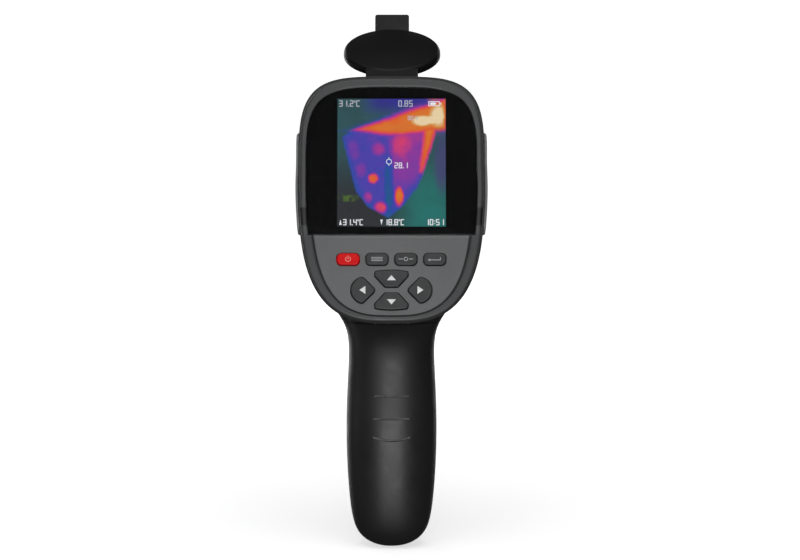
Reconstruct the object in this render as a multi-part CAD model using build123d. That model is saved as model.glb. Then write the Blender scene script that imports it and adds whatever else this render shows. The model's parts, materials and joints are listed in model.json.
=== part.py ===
from build123d import *
import math
import os

# Handheld thermal imaging camera. Millimetres, +Z up, +Y the way the lens looks,
# +X to the user's right. Origin: mouth of the tripod bush under the handle.

# --- driving dimensions -----------------------------------------------------
HEAD_HALF_WIDTH = 44.0      # half width of the head
HEAD_MID_Z = 175.0          # height where the head is widest
HEAD_UP = 45.2              # from there to the top
HEAD_DOWN = 69.0            # from there to the bottom
TOP_POWER = 4.0             # squareness of the upper half of the outline
BOTTOM_POWER = 3.0          # squareness of the lower half
WALL = 2.4                  # casing wall
OUTLINE_POINTS = 40         # points round a section curve

SCREEN_TILT = 14.0          # degrees that the display leans back
KEYPAD_TILT = 20.0          # degrees that the keypad leans back
BEND_Y = -5.0               # the two faces meet here
BEND_Z = 147.0
BEND_RADIUS = 30.0

HEAD_STRAIGHT_Y = 20.0      # the head keeps its section up to here
NOSE_START_Y = 62.0         # and is the round nose from here
NOSE_Z = 190.0
NOSE_RADIUS = 24.0
BARREL_RADIUS = 23.92       # straight part of the nose, just inside the end of the head
RIM_START_Y = 77.6          # stepped rim that the lens cover closes over
RIM_RADIUS = 21.8
NOSE_END_Y = 80.0

HINGE_Y = 77.0              # lens cover hinge
HINGE_Z = 216.8
PIN_RADIUS = 1.0
LUG_INNER_X = 13.2          # the two lugs that carry the pin
LUG_OUTER_X = 17.0
KNUCKLE_HALF_WIDTH = 12.9
COVER_OPEN = 115.5          # degrees
COVER_FACE_Y = 83.5         # crown of the closed cover
COVER_RISE = 2.4            # height of its dome

HOUSING_DEPTH = 6.0         # front edge of the housing below the face
BEZEL_INSET = 0.9           # bezel inside the housing outline
GAP = 0.25                  # visible gap between casing parts

PANEL_SIDE = 6.0            # keypad outline inside the head outline
PANEL_TOP = 5.6
PANEL_BOTTOM = 3.6
WINDOW_SIDE = 3.6           # window outline inside the head outline
WINDOW_TOP = 4.9
WINDOW_FRONT = 1.6          # depths of the window below the face
WINDOW_BACK = 3.0
LEDGE_SIDE = 8.0            # opening in the bezel's ledge
LEDGE_TOP = 6.8
LEDGE_BOTTOM = 5.2
LEDGE_FRONT = 3.25          # depths of the ledge below the face
LEDGE_BACK = 4.6
SPLIT_WINDOW_Z = 146.7      # window above, keypad panel below
SPLIT_PANEL_Z = 146.4

DISPLAY_WIDTH = 51.0        # picture area
DISPLAY_LOW_Z = 151.0
DISPLAY_HIGH_Z = 210.6
GASKET_MARGIN = 1.5         # foam frame outside the picture
MODULE_MARGIN = 2.2         # display module outside the picture

# handle stations: height, half width, half depth, centre in Y
HANDLE = [
    (0.0, 6.0, 7.5, 0.0),
    (1.4, 10.0, 11.4, 0.0),
    (3.5, 13.3, 14.3, 0.2),
    (7.0, 16.2, 17.0, 0.4),
    (12.0, 18.1, 18.9, 0.7),
    (22.0, 19.7, 20.5, 1.3),
    (38.0, 20.9, 21.6, 2.5),
    (60.0, 21.3, 22.0, 4.6),
    (80.0, 20.6, 21.0, 7.0),
    (93.0, 20.3, 20.5, 8.9),
    (101.0, 21.6, 19.45, 11.95),
    (108.0, 25.6, 18.35, 16.35),
    (114.0, 30.0, 18.8, 19.3),
    (122.0, 33.0, 20.05, 21.05),
]
HANDLE_POWER = 2.3
REAR_SHELL_TOP = 104.8      # upper end of the rear handle shell
GRIP_GROOVES = [71.9, 61.5, 51.4]

TRIGGER_PIVOT = (24.5, 104.0)
TRIGGER_HALF_WIDTH = 7.6

BATTERY_RADIUS = 9.2
BATTERY_LOW_Z = 15.0
BATTERY_LENGTH = 65.0
BATTERY_Y = 4.0
DOOR_HALF_WIDTH = 13.0
DOOR_LOW_Z = 14.0
DOOR_HIGH_Z = 69.0
DOOR_SCREW_Z = 63.0

BUSH_RADIUS = 5.5           # brass tripod bush, 1/4 inch thread inside
BUSH_LENGTH = 9.0
BUSH_BORE = 2.55

KEY_TOP = 0.2               # depth of the key tops below the face
KEY_BASE = 3.9
KEY_GAP = 0.45              # round each key cap
KEY_FLANGE = 0.9            # hidden flange round each key cap
PANEL_FRONT = 0.9
PANEL_BACK = 2.9

FRAME_FRONT = 8.5           # inner frame, depths below the face
FRAME_BACK = 10.0

CORE_Z = 188.0              # axis of the infrared lens
NOSE_BORE_RADIUS = 19.6


# --- helpers ----------------------------------------------------------------
def oval(half_width, half_up, half_down, power_up, power_down):
    """Points round a superellipse whose upper and lower halves differ."""
    points = []
    for step in range(OUTLINE_POINTS):
        angle = 2 * math.pi * step / OUTLINE_POINTS
        across = math.cos(angle)
        rise = math.sin(angle)
        half = half_up if rise >= 0 else half_down
        power = power_up if rise >= 0 else power_down
        u = half_width * math.copysign(abs(across) ** (2 / power), across)
        v = half * math.copysign(abs(rise) ** (2 / power), rise)
        points.append((u, v))
    return points


def closed_face(points):
    """Flat face inside one smooth closed curve."""
    return make_face(Spline(*points, periodic=True))


def upright_section(y, mid_z, half_width, half_up, half_down, power_up, power_down):
    """Section of the head in the XZ plane at y."""
    flat = oval(half_width, half_up, half_down, power_up, power_down)
    return closed_face([(u, y, mid_z + v) for u, v in flat])


def outline(side, top, bottom):
    """Head outline, moved inwards, as a long column along Y."""
    section = upright_section(
        -60, HEAD_MID_Z, HEAD_HALF_WIDTH - side, HEAD_UP - top, HEAD_DOWN - bottom,
        TOP_POWER, BOTTOM_POWER)
    return extrude(section, amount=120, dir=(0, 1, 0))


def box(x_min, x_max, y_min, y_max, z_min, z_max):
    """Block between two corners."""
    block = Box(x_max - x_min, y_max - y_min, z_max - z_min, align=Align.MIN)
    return Pos(x_min, y_min, z_min) * block


def rod_y(x, z, radius, y_min, y_max):
    """Cylinder along Y."""
    rod = Cylinder(radius, y_max - y_min, align=(Align.CENTER, Align.CENTER, Align.MIN))
    return Pos(x, y_min, z) * Rot(-90, 0, 0) * rod


def rod_x(y, z, radius, x_min, x_max):
    """Cylinder along X."""
    rod = Cylinder(radius, x_max - x_min, align=(Align.CENTER, Align.CENTER, Align.MIN))
    return Pos(x_min, y, z) * Rot(0, 90, 0) * rod


def rod_z(x, y, radius, z_min, z_max):
    """Cylinder along Z."""
    rod = Cylinder(radius, z_max - z_min, align=(Align.CENTER, Align.CENTER, Align.MIN))
    return Pos(x, y, z_min) * rod


def both_sides(shape):
    """A shape and its mirror image across the middle of the camera."""
    return shape + mirror(shape, about=Plane.YZ)


def side_profile(points, half_width):
    """Outline drawn in the YZ plane, extruded to both sides of X = 0."""
    flat = Polygon(*points, align=None)
    return extrude(Plane.YZ * flat, amount=half_width, both=True)


def face_plane(tilt):
    """Plane of the display or of the keypad: +Z towards the user, +Y up the face."""
    lean = math.radians(tilt)
    return Plane(
        origin=(0, BEND_Y, BEND_Z), x_dir=(1, 0, 0),
        z_dir=(0, -math.cos(lean), math.sin(lean)))


def on_face(tilt, x, z, depth):
    """Place on a face: across, height in Z and depth below the face."""
    climb = (z - BEND_Z) / math.cos(math.radians(tilt))
    return face_plane(tilt).location * Location((x, climb, -depth))


def face_block(tilt, x, z, depth, width, height, thickness):
    """Block lying in a face, centred at x, z, from depth inwards."""
    block = Box(width, height, thickness, align=(Align.CENTER, Align.CENTER, Align.MAX))
    return on_face(tilt, x, z, depth) * block


def face_rod(tilt, x, z, radius, depth, end_depth):
    """Cylinder square to a face between two depths."""
    rod = Cylinder(radius, end_depth - depth, align=(Align.CENTER, Align.CENTER, Align.MAX))
    return on_face(tilt, x, z, depth) * rod


def behind_face(depth):
    """Everything deeper than depth below the bent face that the user sees."""
    low = math.radians(KEYPAD_TILT)
    high = math.radians(SCREEN_TILT)
    half_turn = (low - high) / 2
    middle = (low + high) / 2
    corner = depth / math.cos(half_turn)
    corner_y = BEND_Y + corner * math.cos(middle)
    corner_z = BEND_Z - corner * math.sin(middle)
    radius = BEND_RADIUS + depth
    reach = radius * math.tan(half_turn)
    sagitta = radius / math.cos(half_turn) - radius
    below = (corner_y - reach * math.sin(low), corner_z - reach * math.cos(low))
    above = (corner_y + reach * math.sin(high), corner_z + reach * math.cos(high))
    centre = (corner_y - sagitta * math.cos(middle), corner_z + sagitta * math.sin(middle))
    span = 200.0
    foot = (below[0] - span * math.sin(low), below[1] - span * math.cos(low))
    head = (above[0] + span * math.sin(high), above[1] + span * math.cos(high))
    far = 120.0
    edges = [
        Line(foot, below),
        ThreePointArc(below, centre, above),
        Line(above, head),
        Line(head, (far, head[1])),
        Line((far, head[1]), (far, foot[1])),
        Line((far, foot[1]), foot),
    ]
    return extrude(Plane.YZ * make_face(edges), amount=70, both=True)


def face_slab(front, back):
    """Layer of the bent face between two depths."""
    return behind_face(front) - behind_face(back)


def ease(t):
    """Smooth step from 0 to 1."""
    t = min(max(t, 0.0), 1.0)
    return t * t * (3 - 2 * t)


def head_section(y, inset):
    """Section of the head between its straight part and the nose."""
    top = HEAD_MID_Z + HEAD_UP
    bottom = HEAD_MID_Z - HEAD_DOWN
    whole = (y - HEAD_STRAIGHT_Y) / (NOSE_START_Y - HEAD_STRAIGHT_Y)
    late = ease((y - 33) / (NOSE_START_Y - 33))
    nose_top = NOSE_Z + NOSE_RADIUS
    nose_bottom = NOSE_Z - NOSE_RADIUS
    top_z = top + (nose_top - top) * whole
    bottom_z = bottom + (nose_bottom - bottom) * ease((y - 30) / (NOSE_START_Y - 30))
    mid_z = HEAD_MID_Z + (NOSE_Z - HEAD_MID_Z) * late
    half_width = HEAD_HALF_WIDTH + (NOSE_RADIUS - HEAD_HALF_WIDTH) * late
    power_up = TOP_POWER + (2 - TOP_POWER) * late
    power_down = BOTTOM_POWER + (2 - BOTTOM_POWER) * late
    return upright_section(
        y, mid_z, half_width - inset, top_z - mid_z - inset, mid_z - bottom_z - inset,
        power_up, power_down)


def head_body(inset):
    """Head from behind the user's face to the start of the nose."""
    straight = outline(inset, inset, inset) & box(-70, 70, -60, HEAD_STRAIGHT_Y, 90, 240)
    count = 6
    step = (NOSE_START_Y - HEAD_STRAIGHT_Y) / count
    sections = [head_section(HEAD_STRAIGHT_Y + step * i, inset) for i in range(count + 1)]
    return straight + loft(sections)


def handle_body(inset):
    """Handle as a loft through its stations, moved inwards by inset."""
    sections = []
    for z, half_width, half_depth, mid_y in HANDLE:
        if z >= inset:
            flat = oval(
                half_width - inset, half_depth - inset, half_depth - inset,
                HANDLE_POWER, HANDLE_POWER)
            sections.append(closed_face([(u, mid_y + v, z) for u, v in flat]))
    return loft(sections)


def save(name, shape):
    """Write one sub-part."""
    export_step(shape, "parts/" + name + ".step")


# --- shared volumes ---------------------------------------------------------
head_outer = head_body(0)
head_inner = head_body(WALL)
handle_outer = handle_body(0)
handle_inner = handle_body(WALL)


def split_y(z):
    """The handle shells meet on this leaning line."""
    return 7.0 + 0.05 * z


def rear_half(gap):
    """Space behind the handle's split line and below the head, made smaller by gap."""
    top = REAR_SHELL_TOP - gap
    points = [
        (-60, -10), (split_y(-10) - gap, -10), (split_y(top) - gap, top), (-60, top)]
    return side_profile(points, 60)


# --- places that several sub-parts share --------------------------------------
FRONT = 1
BACK = -1
FAR = 60.0                  # reaches past the camera in any direction from its middle
HANDLE_SCREWS = [(12.3, 73.5), (9.5, 8.5)]      # X and Z of the two pairs
HANDLE_SCREW_RADIUS = 1.2
HANDLE_SCREW_HEAD = 2.4
FRAME_POSTS = [(33.6, 203.0), (34.2, 152.0)]    # X and Z of the two pairs
FRAME_SCREW_RADIUS = 1.0
FLAP_BOX = (-8.0, 8.0, 25.0, 37.0)              # X and Y limits of the port flap
FLAP_HINGE = (24.9, 219.15)                     # Y and Z of its bead
FLAP_BEAD_RADIUS = 0.55
TRIGGER_LOW_Z = 75.8                            # slot for the trigger
TRIGGER_HIGH_Z = 108.5
TRIGGER_PIN_RADIUS = 1.5
BOSS_RADIUS = BUSH_RADIUS + 3.0                 # round the tripod bush


def handle_surface_y(z, side):
    """Y of the handle's front or back on the centre line."""
    for lower, upper in zip(HANDLE, HANDLE[1:]):
        if lower[0] <= z <= upper[0]:
            t = (z - lower[0]) / (upper[0] - lower[0])
            depth = lower[2] + t * (upper[2] - lower[2])
            middle = lower[3] + t * (upper[3] - lower[3])
            return middle + side * depth
    raise ValueError("height outside the handle")


def screw_seat_y(z):
    """Where the head of a handle screw sits."""
    return 22.0 if z > 50 else 8.6


def battery_room():
    """Space kept clear for the battery."""
    return rod_z(0, BATTERY_Y, BATTERY_RADIUS + 0.5, BATTERY_LOW_Z - 3, 86)


# --- rear handle shell --------------------------------------------------------
def grip_cuts():
    """Three thin finger grooves on the handle's back; the lowest curves up."""
    half_groove = 0.45
    groove_depth = 1.1
    half_width = 20.0
    cuts = []
    for z in GRIP_GROOVES[:2]:
        floor_y = handle_surface_y(z, BACK) + groove_depth
        cuts.append(box(-half_width, half_width, -FAR, floor_y, z - half_groove, z + half_groove))
    smile_z = GRIP_GROOVES[2]
    smile_radius = 26.0
    floor_y = handle_surface_y(smile_z, BACK) + groove_depth
    centre_z = smile_z + smile_radius
    ring = rod_y(0, centre_z, smile_radius + half_groove, -FAR, floor_y)
    ring -= rod_y(0, centre_z, smile_radius - half_groove, -FAR - 1, floor_y + 1)
    cuts.append(ring & box(-half_width, half_width, -FAR, floor_y, smile_z - 5, smile_z + 8))
    return cuts


def handle_rear_shell():
    """Rear grip shell with the boss for the tripod bush and the screw bosses."""
    screw_boss = 3.4
    pilot = 1.25
    boss = rod_z(0, 0, BOSS_RADIUS, -1, BUSH_LENGTH + 2)
    hollow = handle_inner - boss
    for x, z in HANDLE_SCREWS:
        hollow -= both_sides(rod_y(x, z, screw_boss, -30, 30))
    front_of_boss = boss & box(-20, 20, 0, 20, -1, BUSH_LENGTH + 3)
    shell = (handle_outer - hollow) & (rear_half(GAP) + front_of_boss)
    for cut in grip_cuts():
        shell -= cut
    shell -= rod_z(0, 0, BUSH_RADIUS, -1, BUSH_LENGTH)
    for x, z in HANDLE_SCREWS:
        shell -= both_sides(rod_y(x, z, pilot, split_y(z) - 9, 40))
    return shell - battery_room()


# --- front housing ------------------------------------------------------------
def nose_outer():
    """Round nose and the stepped rim that the lens cover closes over."""
    barrel = rod_y(0, NOSE_Z, BARREL_RADIUS, NOSE_START_Y - 1, RIM_START_Y)
    return barrel + rod_y(0, NOSE_Z, RIM_RADIUS, RIM_START_Y - 1, NOSE_END_Y)


def hinge_lugs():
    """Two lugs over the nose that carry the lens cover's pin."""
    root_z = 203.0
    back_y = 66.0
    front_y = RIM_START_Y - 0.6
    corners = [
        (back_y, root_z),
        (back_y, 213),
        (HINGE_Y - 2.6, HINGE_Z + 2.0),
        (HINGE_Y + 2.0, HINGE_Z + 2.0),
        (HINGE_Y + 2.4, HINGE_Z - 2.0),
        (front_y, 212.5),
        (front_y, root_z),
    ]
    lug = side_profile(corners, LUG_OUTER_X + 1)
    lug = fillet(lug.edges().filter_by(Axis.X).sort_by(Axis.Z)[-2:], 1.6)
    lug &= box(LUG_INNER_X, LUG_OUTER_X, back_y - 1, 90, root_z, 225)
    return both_sides(lug) - rod_y(0, NOSE_Z, NOSE_RADIUS - 1, 60, 90)


def front_housing():
    """Head, nose and front half of the handle in one moulding."""
    post_radius = 2.6
    screw_boss = 3.4
    outer = (head_outer + nose_outer() + handle_outer) & behind_face(HOUSING_DEPTH)
    hollow = head_inner + handle_inner
    hollow += rod_y(0, NOSE_Z, BARREL_RADIUS - WALL, NOSE_START_Y - 1, 76)
    for x, z in FRAME_POSTS:
        hollow -= both_sides(rod_y(x, z, post_radius, 0, 70) & behind_face(FRAME_BACK))
    for x, z in HANDLE_SCREWS:
        hollow -= both_sides(rod_y(x, z, screw_boss, split_y(z), FAR))
    trigger_cheek = box(8.6, 11.6, 17, 31, 99, 109)
    hollow -= both_sides(trigger_cheek)
    shell = outer - hollow
    shell -= rod_y(0, NOSE_Z, NOSE_BORE_RADIUS, 70, 90)
    shell += hinge_lugs()
    shell -= rear_half(0)
    shell -= rod_z(0, 0, BOSS_RADIUS + 0.2, -1, BUSH_LENGTH + 2.3)
    for x, z in HANDLE_SCREWS:
        shell -= both_sides(rod_y(x, z, HANDLE_SCREW_RADIUS + GAP, 0, FAR))
        shell -= both_sides(rod_y(x, z, HANDLE_SCREW_HEAD + 0.3, screw_seat_y(z), FAR))
    shell -= housing_openings()
    return shell - battery_room()


def housing_openings():
    """Slot for the trigger, openings for the doors, and the pin and screw holes."""
    slot = TRIGGER_HALF_WIDTH + 0.5
    cuts = box(-slot, slot, 14, FAR, TRIGGER_LOW_Z, TRIGGER_HIGH_Z) & handle_body(-1)
    pivot_y, pivot_z = TRIGGER_PIVOT
    cuts += rod_x(pivot_y, pivot_z, TRIGGER_PIN_RADIUS, -11, 11)
    door = DOOR_HALF_WIDTH + GAP
    cuts += box(-door, door, 12, FAR, DOOR_LOW_Z - GAP, DOOR_HIGH_Z + GAP)
    x_min, x_max, y_min, y_max = FLAP_BOX
    cuts += box(x_min - GAP, x_max + GAP, y_min - GAP, y_max + GAP, 200, 230)
    flap_y, flap_z = FLAP_HINGE
    cuts += rod_x(flap_y, flap_z, FLAP_BEAD_RADIUS + 0.35, x_min - GAP, x_max + GAP)
    cuts += rod_x(HINGE_Y, HINGE_Z, PIN_RADIUS, -LUG_OUTER_X - 1, LUG_OUTER_X + 1)
    for x, z in FRAME_POSTS:
        cuts += both_sides(rod_y(x, z, FRAME_SCREW_RADIUS, 0, 28))
    return cuts


# --- face parts ---------------------------------------------------------------
def bezel():
    """Rounded frame round the display window and the keypad."""
    ring = outline(BEZEL_INSET, BEZEL_INSET, BEZEL_INSET)
    ring -= outline(PANEL_SIDE, PANEL_TOP, PANEL_BOTTOM)
    ring &= face_slab(0, HOUSING_DEPTH - GAP)
    front = [e for e in ring.edges() if edge_depth(e) < 0.05]
    ring = fillet(front, 1.3)
    window_pocket = outline(WINDOW_SIDE, WINDOW_TOP, PANEL_BOTTOM) & face_slab(-1, LEDGE_FRONT)
    ring -= window_pocket & above(SPLIT_WINDOW_Z - 0.1)
    skirt = outline(2.9, 2.9, 2.9) & face_slab(LEDGE_FRONT, 9.0)
    body = ring + skirt
    body -= outline(5.0, 5.0, 4.6) & face_slab(LEDGE_BACK, 12)
    opening = outline(LEDGE_SIDE, LEDGE_TOP, LEDGE_BOTTOM) & face_slab(2, 12)
    crossbar = box(-FAR, FAR, -FAR, FAR, 143.6, 149.0)
    body -= opening - crossbar
    body -= picture_area(GASKET_MARGIN + 0.2, LEDGE_FRONT - 0.1, LEDGE_BACK + 0.4)
    body -= picture_area(MODULE_MARGIN + 0.2, LEDGE_BACK, 12)
    foot = offset(KEYS["down_key"], amount=KEY_FLANGE + 0.3)
    return body - key_prism(foot, 2, 12)


def above(z):
    """Everything higher than z."""
    return box(-FAR, FAR, -FAR, FAR, z, 240)


def edge_depth(edge):
    """Distance of an edge's middle below the user's face."""
    point = edge.position_at(0.5)
    depths = []
    for tilt in (SCREEN_TILT, KEYPAD_TILT):
        local = face_plane(tilt).to_local_coords(point)
        depths.append(-local.Z)
    return abs(max(depths))


def display_window():
    """Clear sheet over the display."""
    sheet = outline(WINDOW_SIDE + 0.08, WINDOW_TOP + 0.08, PANEL_BOTTOM)
    sheet &= face_slab(WINDOW_FRONT, WINDOW_BACK)
    return sheet & above(SPLIT_WINDOW_Z)


def picture_area(margin, front, back):
    """Prism over the picture area, widened by margin."""
    mid = (DISPLAY_LOW_Z + DISPLAY_HIGH_Z) / 2
    height = (DISPLAY_HIGH_Z - DISPLAY_LOW_Z) / math.cos(math.radians(SCREEN_TILT))
    return face_block(
        SCREEN_TILT, 0, mid, front, DISPLAY_WIDTH + 2 * margin, height + 2 * margin,
        back - front)


def window_mask():
    """Black printed border on the back of the window."""
    sheet = outline(WINDOW_SIDE + 0.3, WINDOW_TOP + 0.3, PANEL_BOTTOM)
    sheet &= face_slab(WINDOW_BACK + 0.03, LEDGE_FRONT - 0.05)
    sheet &= above(SPLIT_WINDOW_Z + 0.3)
    return sheet - picture_area(0, 2.5, 4.0)


def display_gasket():
    """Foam frame between the window and the display."""
    back = LEDGE_BACK + 0.05
    return picture_area(GASKET_MARGIN, LEDGE_FRONT, back) - picture_area(0.2, 3.0, 5.0)


def keypad_panel():
    """Grey panel with the key openings; its upper edge rolls in to the window."""
    groove = 0.6
    sheet = outline(PANEL_SIDE + groove, PANEL_TOP, PANEL_BOTTOM + groove)
    sheet &= face_slab(PANEL_FRONT, PANEL_BACK)
    sheet &= box(-FAR, FAR, -FAR, FAR, 90, SPLIT_PANEL_Z)
    top = sheet.edges().filter_by(Axis.X).sort_by(Axis.Z)
    front_top = min(top[-2:], key=edge_depth)
    sheet = fillet(front_top, 1.6)
    for shape in KEYS.values():
        sheet -= key_prism(offset(shape, amount=KEY_GAP), 0, 5)
    return sheet


def key_prism(shape, front, back):
    """Extrude a key outline between two depths below the keypad face."""
    plane = face_plane(KEYPAD_TILT)
    placed = plane.location * Location((0, 0, -back)) * shape
    return extrude(placed, amount=back - front, dir=plane.z_dir)


def key_place(x, z):
    """Key centre in keypad coordinates."""
    return Location((x, (z - BEND_Z) / math.cos(math.radians(KEYPAD_TILT)), 0))


def rounded_polygon(points, radius):
    """Polygon with every corner rounded."""
    flat = Polygon(*points, align=None)
    return fillet(flat.vertices(), radius)


def arrow_key():
    """Up key: arched top, sides that run in to a narrow foot."""
    half_width = 7.7
    half_foot = 3.0
    top = 4.0
    shoulder = 3.3
    waist = 1.2
    edges = [
        ThreePointArc((-half_width, shoulder), (0, top), (half_width, shoulder)),
        Line((half_width, shoulder), (half_width, waist)),
        Line((half_width, waist), (half_foot, -top)),
        Line((half_foot, -top), (-half_foot, -top)),
        Line((-half_foot, -top), (-half_width, waist)),
        Line((-half_width, waist), (-half_width, shoulder)),
    ]
    flat = make_face(edges)
    return fillet(flat.vertices(), 1.0)


def side_key():
    """Left key: round on the outside, pointed towards the middle."""
    half_height = 6.2
    turn_x = -0.4
    outside_x = -5.8
    point_x = 5.7
    edges = [
        ThreePointArc((turn_x, half_height), (outside_x, 0), (turn_x, -half_height)),
        Line((turn_x, -half_height), (point_x, 0)),
        Line((point_x, 0), (turn_x, half_height)),
    ]
    flat = make_face(edges)
    return fillet(flat.vertices(), 1.6)


def key_shapes():
    """Outlines of the eight keys, drawn on the keypad plane."""
    row_z = 135.8
    pitch = 13.5
    arrows_z = 121.75
    small = RectangleRounded(10.3, 5.6, 2.1)
    names = ["power_key", "menu_key", "select_key", "enter_key"]
    shapes = {}
    for index, name in enumerate(names):
        shapes[name] = key_place((index - 1.5) * pitch, row_z) * small
    shapes["up_key"] = key_place(0, 127.0) * arrow_key()
    shapes["down_key"] = key_place(0, 116.7) * mirror(arrow_key(), about=Plane.XZ)
    shapes["left_key"] = key_place(-13.0, arrows_z) * side_key()
    shapes["right_key"] = key_place(13.0, arrows_z) * mirror(side_key(), about=Plane.YZ)
    return shapes


KEYS = key_shapes()


def key_cap(shape):
    """Cap with a soft upper edge and a flange that keeps it under the panel."""
    cap = key_prism(shape, KEY_TOP, KEY_BASE)
    plane = face_plane(KEYPAD_TILT)
    rim = [e for e in cap.edges() if plane.to_local_coords(e.position_at(0.5)).Z > -0.5]
    cap = fillet(rim, 0.45)
    flange = key_prism(offset(shape, amount=KEY_FLANGE), PANEL_BACK + 0.2, KEY_BASE - 0.1)
    return cap + flange


def key_centre(shape):
    """Middle of a key on the keypad plane."""
    centre = shape.center()
    return centre.X, centre.Y


def under_keys(radius, front, back):
    """One disc under every key."""
    plane = face_plane(KEYPAD_TILT)
    discs = []
    for shape in KEYS.values():
        x, y = key_centre(shape)
        rod = Cylinder(radius, back - front, align=(Align.CENTER, Align.CENTER, Align.MAX))
        discs.append(plane.location * Location((x, y, -front)) * rod)
    return discs


KEYPAD_MID_Z = 126.5


def keypad_membrane():
    """Silicone sheet with a pip under each key."""
    sheet = face_block(KEYPAD_TILT, 0, KEYPAD_MID_Z, 4.75, 58, 33, 0.5)
    sheet &= outline(10.5, 10, 7.0)
    for pip in under_keys(1.6, 4.6, 4.9):
        sheet += pip
    return sheet


def key_domes():
    """Metal snap domes."""
    return Compound(under_keys(2.4, 5.3, 5.8))


def key_board():
    """Circuit board under the domes."""
    board = face_block(KEYPAD_TILT, 0, KEYPAD_MID_Z, 5.85, 60, 34, 1.2)
    return board & outline(9.5, 10, 6.5)


# --- boards and display -------------------------------------------------------
def display_module():
    """Liquid crystal display with its back light."""
    return picture_area(MODULE_MARGIN, LEDGE_BACK + 0.1, 8.3)


def inner_frame():
    """Moulded plate that the display and the main board are fixed to."""
    low_z = 149.5
    plate = outline(5.6, 5.6, 5.6) & face_slab(FRAME_FRONT, FRAME_BACK) & above(low_z)
    plate -= face_block(SCREEN_TILT, 0, 182, 8, 30, 36, 4)
    for x, z in FRAME_POSTS:
        plate -= both_sides(rod_y(x, z, FRAME_SCREW_RADIUS + GAP, -10, 40))
    return plate


def frame_screws():
    """Screws through the inner frame into the housing posts."""
    screws = []
    for x, z in FRAME_POSTS:
        y = face_y(z, FRAME_FRONT - 0.2)
        for side in (-1, 1):
            shaft = rod_y(side * x, z, FRAME_SCREW_RADIUS, y - 0.8, y + 9)
            screws.append(shaft + rod_y(side * x, z, 2.0, y - 1.6, y - 0.4))
    return Compound(screws)


def face_y(z, depth):
    """Y of the display face at height z, at a depth below it."""
    lean = math.radians(SCREEN_TILT)
    return BEND_Y + (z - BEND_Z) * math.tan(lean) + depth / math.cos(lean)


BOARD_X = 28.0
BOARD_LOW_Z = 152.0
BOARD_HIGH_Z = 208.0
BOARD_DEPTH = 13.0          # front of the main board below the face
BOARD_THICKNESS = 1.6
BOARD_BACK = BOARD_DEPTH + BOARD_THICKNESS
STANDOFF_PLACES = [(25.0, 156.0), (25.0, 204.0)]


def main_board():
    """Circuit board behind the display."""
    mid = (BOARD_LOW_Z + BOARD_HIGH_Z) / 2
    height = (BOARD_HIGH_Z - BOARD_LOW_Z) / math.cos(math.radians(SCREEN_TILT))
    board = face_block(SCREEN_TILT, 0, mid, BOARD_DEPTH, 2 * BOARD_X, height, BOARD_THICKNESS)
    for x, z in STANDOFF_PLACES:
        board -= both_sides(face_rod(SCREEN_TILT, x, z, 1.3, BOARD_DEPTH - 1, BOARD_BACK + 1))
    return board


def board_standoffs():
    """Four tubes between the inner frame and the main board."""
    rods = []
    for x, z in STANDOFF_PLACES:
        for side in (-1, 1):
            rod = face_rod(SCREEN_TILT, side * x, z, 2.4, FRAME_BACK, BOARD_DEPTH)
            rods.append(rod - face_rod(SCREEN_TILT, side * x, z, 1.0, 9, 14))
    return Compound(rods)


def board_screws():
    """Screws that hold the main board on its standoffs."""
    rods = []
    for x, z in STANDOFF_PLACES:
        for side in (-1, 1):
            shaft = face_rod(SCREEN_TILT, side * x, z, 0.99, 10.4, 15.0)
            head = face_rod(SCREEN_TILT, side * x, z, 2.0, BOARD_BACK, BOARD_BACK + 1.2)
            rods.append(shaft + head)
    return Compound(rods)


def board_chips():
    """Processor, memory and power parts on the back of the main board."""
    places = [(-12, 196, 14, 14), (10, 197, 11, 9), (-14, 162, 9, 9), (12, 160, 12, 7)]
    chips = []
    for x, z, width, height in places:
        chips.append(face_block(SCREEN_TILT, x, z, BOARD_BACK, width, height, 1.4))
    return Compound(chips)


def shield_can():
    """Tin box over the radio-sensitive parts of the main board."""
    can = face_block(SCREEN_TILT, 0, 178, BOARD_BACK, 26, 16, 3.0)
    return can - face_block(SCREEN_TILT, 0, 178, BOARD_BACK - 0.6, 25, 15, 3.2)


def flat_strip(points, width, thickness):
    """Flexible cable: a strip that follows points in the YZ plane."""
    path = FilletPolyline(*points, radius=1.2)
    ribbon = offset(path, amount=thickness / 2, side=Side.BOTH)
    return extrude(Plane.YZ * make_face(ribbon), amount=width / 2, both=True)


def display_flex():
    """Flexible cable from the display through the frame to the main board."""
    start = (face_y(178, 8.5), 178)
    middle = (face_y(175, 11.0), 175)
    end = (face_y(171, 12.8), 171)
    return flat_strip([start, middle, end], 18, 0.3)


# --- thermal core -------------------------------------------------------------
SHUTTER_Z = CORE_Z - 13.0   # axis of the shutter motor
DETECTOR_HALF = 5.0
DETECTOR_BACK_Y = 50.0
DETECTOR_FRONT_Y = 52.0
CORE_FRONT_Y = 60.0
BARREL_BACK_Y = 62.6        # flange of the lens barrel
LENS_BARREL_RADIUS = 12.0
LENS_RADIUS = 10.4
LENS_BACK_Y = 72.0
MOTOR_RADIUS = 4.0


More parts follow.
